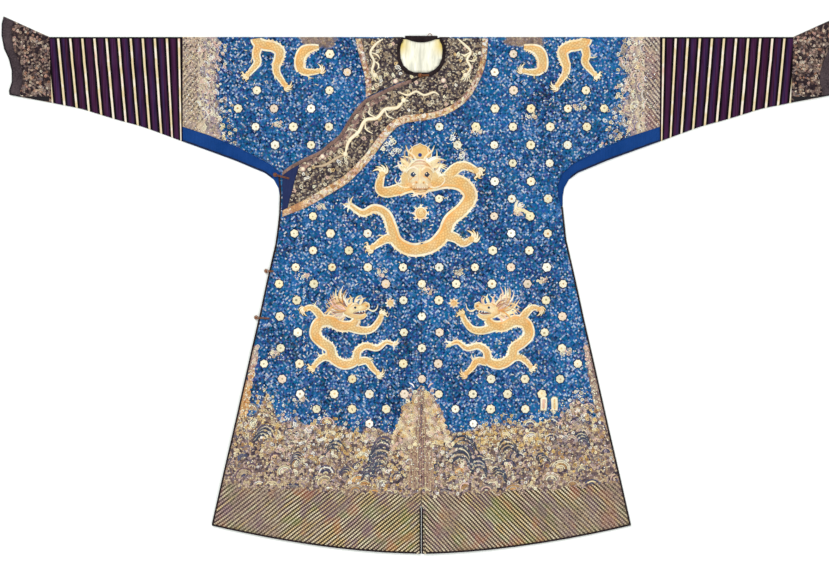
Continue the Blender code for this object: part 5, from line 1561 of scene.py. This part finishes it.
COLLAR_STRANDS = (   # half width, colour, and the places (x, drop) in millimetres: bodies and their limbs
    (3.6, CREAM, ((-104, 6), (-122, 18), (-138, 42), (-128, 66), (-134, 92), (-126, 104))),
    (2.4, CREAM, ((-138, 42), (-120, 48), (-112, 60))),
    (2.4, CREAM, ((-128, 66), (-116, 74), (-118, 88))),
    (3.6, CREAM, ((98, 4), (116, 20), (134, 40), (124, 62), (134, 84), (120, 104))),
    (2.4, CREAM, ((134, 40), (118, 50), (108, 46))),
    (2.4, CREAM, ((124, 62), (140, 66), (150, 58))),
    (3.2, CREAM, ((-60, 150), (-36, 158), (-14, 148), (8, 158), (34, 150), (48, 158))),
    (2.4, CREAM, ((-36, 158), (-44, 170))),
    (2.4, CREAM, ((8, 158), (2, 172))),
    (5.0, CREAM, (
        (-48, 172), (-66, 192), (-98, 196), (-120, 220), (-152, 226), (-170, 258), (-196, 282), (-206, 318),
    )),
    (2.4, CREAM, ((-98, 196), (-92, 214), (-74, 222))),
    (2.4, CREAM, ((-120, 220), (-142, 208), (-138, 192))),
    (2.4, CREAM, ((-152, 226), (-150, 250), (-132, 262))),
    (2.4, CREAM, ((-170, 258), (-192, 250), (-206, 260))),
    (3.4, BEIGE, ((-206, 318), (-232, 330), (-262, 348), (-292, 352))),
)


def lay_collar():
    work = Stitches("collar_dragons", "collar_silk")

    def on_collar(x, y):
        return piece_at(x, y) in ("collar_facing", "right_collar_facing")

    def on_trim(x, y):
        return piece_at(x, y) in ("collar_trim", "right_collar_trim")

    for half, tint, points in COLLAR_STRANDS:
        ends = (0, len(points) - 1)
        rows = [(x, -drop, half * (0.45 if i in ends else 1.0)) for i, (x, drop) in enumerate(points)]
        work.ribbon(spot(0, 0), rows, uneven(tint, 0.05), 1.0, edge=OCHRE, keep=on_collar, lift=0.2)
    for x, drop, turn in ((-126, 104, 250), (120, 104, 290), (-48, 172, 30), (-206, 318, 230)):
        place = spot(x / 1000, drop / 1000, turn, 0.42)
        if on_collar(*place(0, 0)):
            work.disc(place, 0, 0, 17, CREAM, 2.0, edge=OCHRE, sides=12, lift=0.6)
            wisps(work, place, 6, 44, 100, (CREAM, PALE_GOLD), half=3.6, keep=on_collar)
    for x, drop in (
        (-239.6, 286.2), (-307.4, 299.8), (-268.0, 324.2), (-321.0, 358.1), (-180, 205), (-225, 245),
        (60, 118), (-70, 120),
    ):
        if on_collar(x / 1000, SHOULDER_Y - drop / 1000):
            work.disc(
                spot(x / 1000, drop / 1000), 0, 0, 7.5, uneven(PINK, 0.05), 1.2, edge=DARK, sides=12,
                lift=0.3,
            )
            work.disc(spot(x / 1000, drop / 1000), 0, 0, 4.8, CREAM, 1.0, sides=10, lift=0.9)
    rows = []
    for k in range(26):   # the facing's upper edge, bound with brown thread
        drop = 0.158 + 0.0078 * k
        place = first_of(("collar_facing",), ((x / 1000, drop) for x in range(-380, 60, 2)))
        if place:
            rows.append((1000 * place[0] + 7.5, -1000 * drop - 5.0, 8.5 if 0 < k < 25 else 4))
    work.ribbon(
        spot(0, 0), rows, rgb(116, 92, 92), 0.7, edge=rgb(92, 70, 74), per=1, keep=on_collar, lift=-0.1
    )
    for u, v, _ in smooth(rows, 3):
        for _ in range(3):
            tint = pick((rgb(160, 128, 122), rgb(196, 160, 144), rgb(90, 70, 76), CREAM))
            place = spot(u / 1000 + vary(-0.008, 0.008), -v / 1000 + vary(-0.004, 0.004), any_turn())
            curl(work, place, vary(3, 4.5), tint, half=1.0, keep=on_collar, lift=0.5)
    found = 0
    for _ in range(TRIM_TRIES):
        x, drop = vary(-0.37, 0.19), vary(0.0, 0.45)
        if found < TRIM_CURLS and on_trim(x, SHOULDER_Y - drop):
            found += 1
            tint = pick((CREAM, PALE_GOLD, WHITE, PINK, OCHRE, rgb(150, 108, 96)))
            stray_curl(work, x, drop, (2.6, 4.6), tint, 1.1, on_trim, 0.1)
    for _ in range(COLLAR_CURLS):
        x, drop = vary(-0.36, 0.18), vary(0.0, 0.42)
        tint = chance.choice((GOLD, CREAM, PINK, PALE_GOLD, BEIGE, WHITE, CREAM, rgb(50, 36, 44)))
        curl(work, spot(x, drop, any_turn()), vary(4, 6.5), uneven(tint), half=1.3, keep=on_collar, lift=0.1)
    work.build()


def lay_cuffs():
    work = Stitches("cuff_clouds", "cuff_silk")
    muted = (rgb(184, 144, 118), rgb(210, 178, 152), rgb(164, 138, 128))
    worn = (
        rgb(218, 190, 166), rgb(238, 224, 204), rgb(208, 166, 154), rgb(184, 136, 110), rgb(136, 120, 122),
    )
    for side in (1, -1):
        piece = "left_cuff" if side > 0 else "right_cuff"

        def on_cuff(x, y):
            return piece_at(x, y) == piece

        for x, drop, turn in (
            (1.052, 0.010, 60), (1.040, 0.080, -40), (1.066, 0.112, 20), (1.030, 0.142, 70)
        ):
            cloud(work, spot(side * x, drop, turn * side, 0.5, side), muted, on_cuff)
        for _ in range(CUFF_CURLS):
            x, drop = side * vary(1.005, 1.11), vary(-0.045, 0.18)
            tint = chance.choice(worn)
            curl(
                work, spot(x, drop, any_turn()), vary(2.4, 4.2), uneven(tint), half=0.85, keep=on_cuff,
                lift=0.1,
            )
    work.build()


def lay_flecks(taken):
    """Small tongues of cloud and flame crowded about the dragons."""
    work = Stitches("cloud_flecks")
    cells = sorted(taken)
    for _ in range(FLECKS):
        i, j = chance.choice(cells)
        a, far = vary(0, 2 * math.pi), vary(0.014, 0.050)
        x, drop = NEAR * i + far * math.cos(a), NEAR * j + far * math.sin(a)
        if covered(x, drop, taken) or not on_ground(x, SHOULDER_Y - drop):
            continue
        place, tint = spot(x, drop, any_turn()), pick((CREAM, WHITE, PINK, PALE_GOLD, GREY, BEIGE))
        if chance.random() < 0.55:
            work.ribbon(
                place, [(-5, 0, 0.5), (-1, 1.4, 1.3), (5, 0, 0.3)], tint, 0.7, per=2, lift=0.1,
                keep=on_ground,
            )
        else:
            work.disc(place, 0, 0, vary(1.3, 2.3), tint, 0.8, sides=6, lift=0.1)
    work.build()


def lay_scrolls():
    """Two small scrolls above the sea at the wearer's left, and a lone jewel at the chest."""
    work = Stitches("small_emblems")
    for x, drop, tint in ((0.332, 0.996, PINK), (0.361, 0.996, PALE_GOLD)):
        place = spot(x, drop, vary(-4, 4), 1.3)
        work.blob(
            place, [(-7, -15), (7, -15), (8, -4), (7, 14), (3, 17), (-4, 17), (-8, 12), (-7, -4)], CREAM,
            0.9, edge=NAVY, lift=0.3,
        )
        work.blob(
            place, [(-4, -10), (4, -10), (4, 11), (-4, 11)], shade(tint, 0.9), 0.9, edge=OCHRE, lift=0.9
        )
        work.ribbon(place, [(0, -11, 0.8), (0, 0, 1.2), (0, 11, 0.8)], ORANGE, 0.6, lift=1.6)
    place = spot(0.262, 0.470, 10)
    work.disc(
        place, -2, 0, 9.5, PALE_GOLD, 1.0, edge=GOLD, core=CREAM, sides=14, wave=0.12, petals=4, lift=0.3
    )
    work.ribbon(
        place, [(0, 2, 5.5), (14, -3, 4.2), (24, -11, 5.0), (29, -14, 2.0)], PALE_GOLD, 1.0, edge=GOLD,
        lift=0.4,
    )
    work.ribbon(
        place, [(-4, 4, 5.0), (-3, 15, 4.0), (2, 23, 2.4), (1, 29, 0.5)], CREAM, 1.0, edge=PALE_GOLD,
        lift=0.4,
    )
    wisps(work, within(place, 4, 8, 40), 5, 17, 60, (CREAM, WHITE, PINK), half=2.0)
    work.build()


def lay_edges():
    """Dark ribbons along the lower outlines: painted shade under the sleeves, and along the cuffs' feet and
    round their mouths a dark binding that also carries painted shade.
    """
    work = Stitches("edges_painted_shade", "binding")
    # near black: the cuffs' dark binding, darkened further as painted shade along their edges
    binding_and_shade_dark = rgb(20, 14, 22)
    for side, word in ((1, "left"), (-1, "right")):
        # under the sleeves a navy-black line of painted shade; at the cuffs the dark binding with painted
        # shade
        for names, first, last, half, tint in (
            ((word + "_under_sleeve", word + "_half"), 0.405, 0.646, lambda t: 2.0, rgb(6, 22, 58)),
            ((word + "_cuff",), 1.010, 1.080, lambda t: 1.2 + 6.0 * (1 - t), binding_and_shade_dark),
            ((word + "_cuff", word + "_cuff_border"), 1.080, 1.118, lambda t: 1.1, binding_and_shade_dark),
        ):
            rows, count = [], int((last - first) / 0.006)
            for k in range(count + 1):
                t = k / count
                x = side * (first + t * (last - first))
                foot = first_of(names, ((x, 0.44 - 0.001 * step) for step in range(500)))
                if foot and (not rows or abs(1000 * foot[1] + rows[-1][1]) < 30):
                    wide = half(t)
                    rows.append((1000 * x, -1000 * foot[1] + wide + 0.4, wide))
            if len(rows) > 2:
                work.ribbon(spot(0, 0), rows, tint, 0.9, per=1, lift=0.9)
        rows = []
        for k in range(34):
            drop = -0.046 + 0.0062 * k
            across = ((side * (1.145 - 0.001 * step), drop) for step in range(160))
            mouth = first_of((word + "_cuff_border",), across)
            if mouth:
                rows.append((1000 * mouth[0] - side * 2.2, -1000 * drop, 1.8))
        if len(rows) > 2:
            work.ribbon(spot(0, 0), rows, binding_and_shade_dark, 0.9, per=1)
    work.build()


taken = lay_dragons()
lay_rosettes(taken)
lay_clouds(taken)
lay_flecks(taken)
lay_scrolls()
lay_sea()
lay_crests()
lay_banks()
lay_sleeve_ends()
lay_collar()
lay_cuffs()
lay_edges()
for node in frame["nodes"]:
    if node.startswith(("toggle_", "loop_", "back_neck_loop")):
        frame["nodes"][node].data.materials.clear()
        frame["nodes"][node].data.materials.append(BRAID)

# ---- Studio ------------------------------------------------------------------------------------------
TABLE_HALF, TABLE_TOP = 40, -0.0005
AIR_TINT, AIR_LIGHT = (0.97, 1.0, 0.985, 1), 0.80
LAMPS = (("key", 1.35, 0.25, (-38, -34, 0)), ("fill", 0.6, 0.6, (30, 40, 0)))   # strength, width, turn
CAMERA_PLACE, LENS, SENSOR = (-0.01845, 0.0083, 6.25), 100, 36

floor_graph = Graph("table", rough=0.9, specular=0.1)
floor_mesh = bpy.data.meshes.new("table")
corners = [(x * TABLE_HALF, y * TABLE_HALF, TABLE_TOP) for x, y in ((-1, -1), (1, -1), (1, 1), (-1, 1))]
floor_mesh.from_pydata(corners, [], [(0, 1, 2, 3)])
floor = bpy.data.objects.new("table", floor_mesh)
top_color = floor_graph.mix(floor_graph.noise(2.0), rgb(252, 255, 251), rgb(255, 255, 254))
floor_mesh.materials.append(floor_graph.finish(top_color))
bpy.context.scene.collection.objects.link(floor)

world = bpy.data.worlds.new("studio")
bpy.context.scene.world = world
world.use_nodes = True
air = world.node_tree.nodes
air["Background"].inputs[0].default_value = AIR_TINT
air["Background"].inputs[1].default_value = AIR_LIGHT
# the camera sees plain white past the table's edge, and only the lighting is tinted
white = air.new("ShaderNodeBackground")
white.inputs[0].default_value = (1, 1, 1, 1)
either = air.new("ShaderNodeMixShader")
join = world.node_tree.links.new
join(air.new("ShaderNodeLightPath").outputs["Is Camera Ray"], either.inputs[0])
join(air["Background"].outputs[0], either.inputs[1])
join(white.outputs[0], either.inputs[2])
join(either.outputs[0], air["World Output"].inputs[0])
bpy.context.scene.view_settings.view_transform = "Standard"
for name, energy, angle, turn in LAMPS:
    lamp = bpy.data.lights.new(name, "SUN")
    lamp.energy, lamp.angle = energy, angle
    sun = bpy.data.objects.new(name, lamp)
    sun.rotation_euler = tuple(math.radians(t) for t in turn)
    bpy.context.scene.collection.objects.link(sun)

camera = bpy.data.objects.new("camera", bpy.data.cameras.new("camera"))
camera.data.lens = LENS
camera.data.sensor_width = SENSOR
camera.data.clip_end = 50
camera.location = CAMERA_PLACE
bpy.context.scene.collection.objects.link(camera)
bpy.context.scene.camera = camera
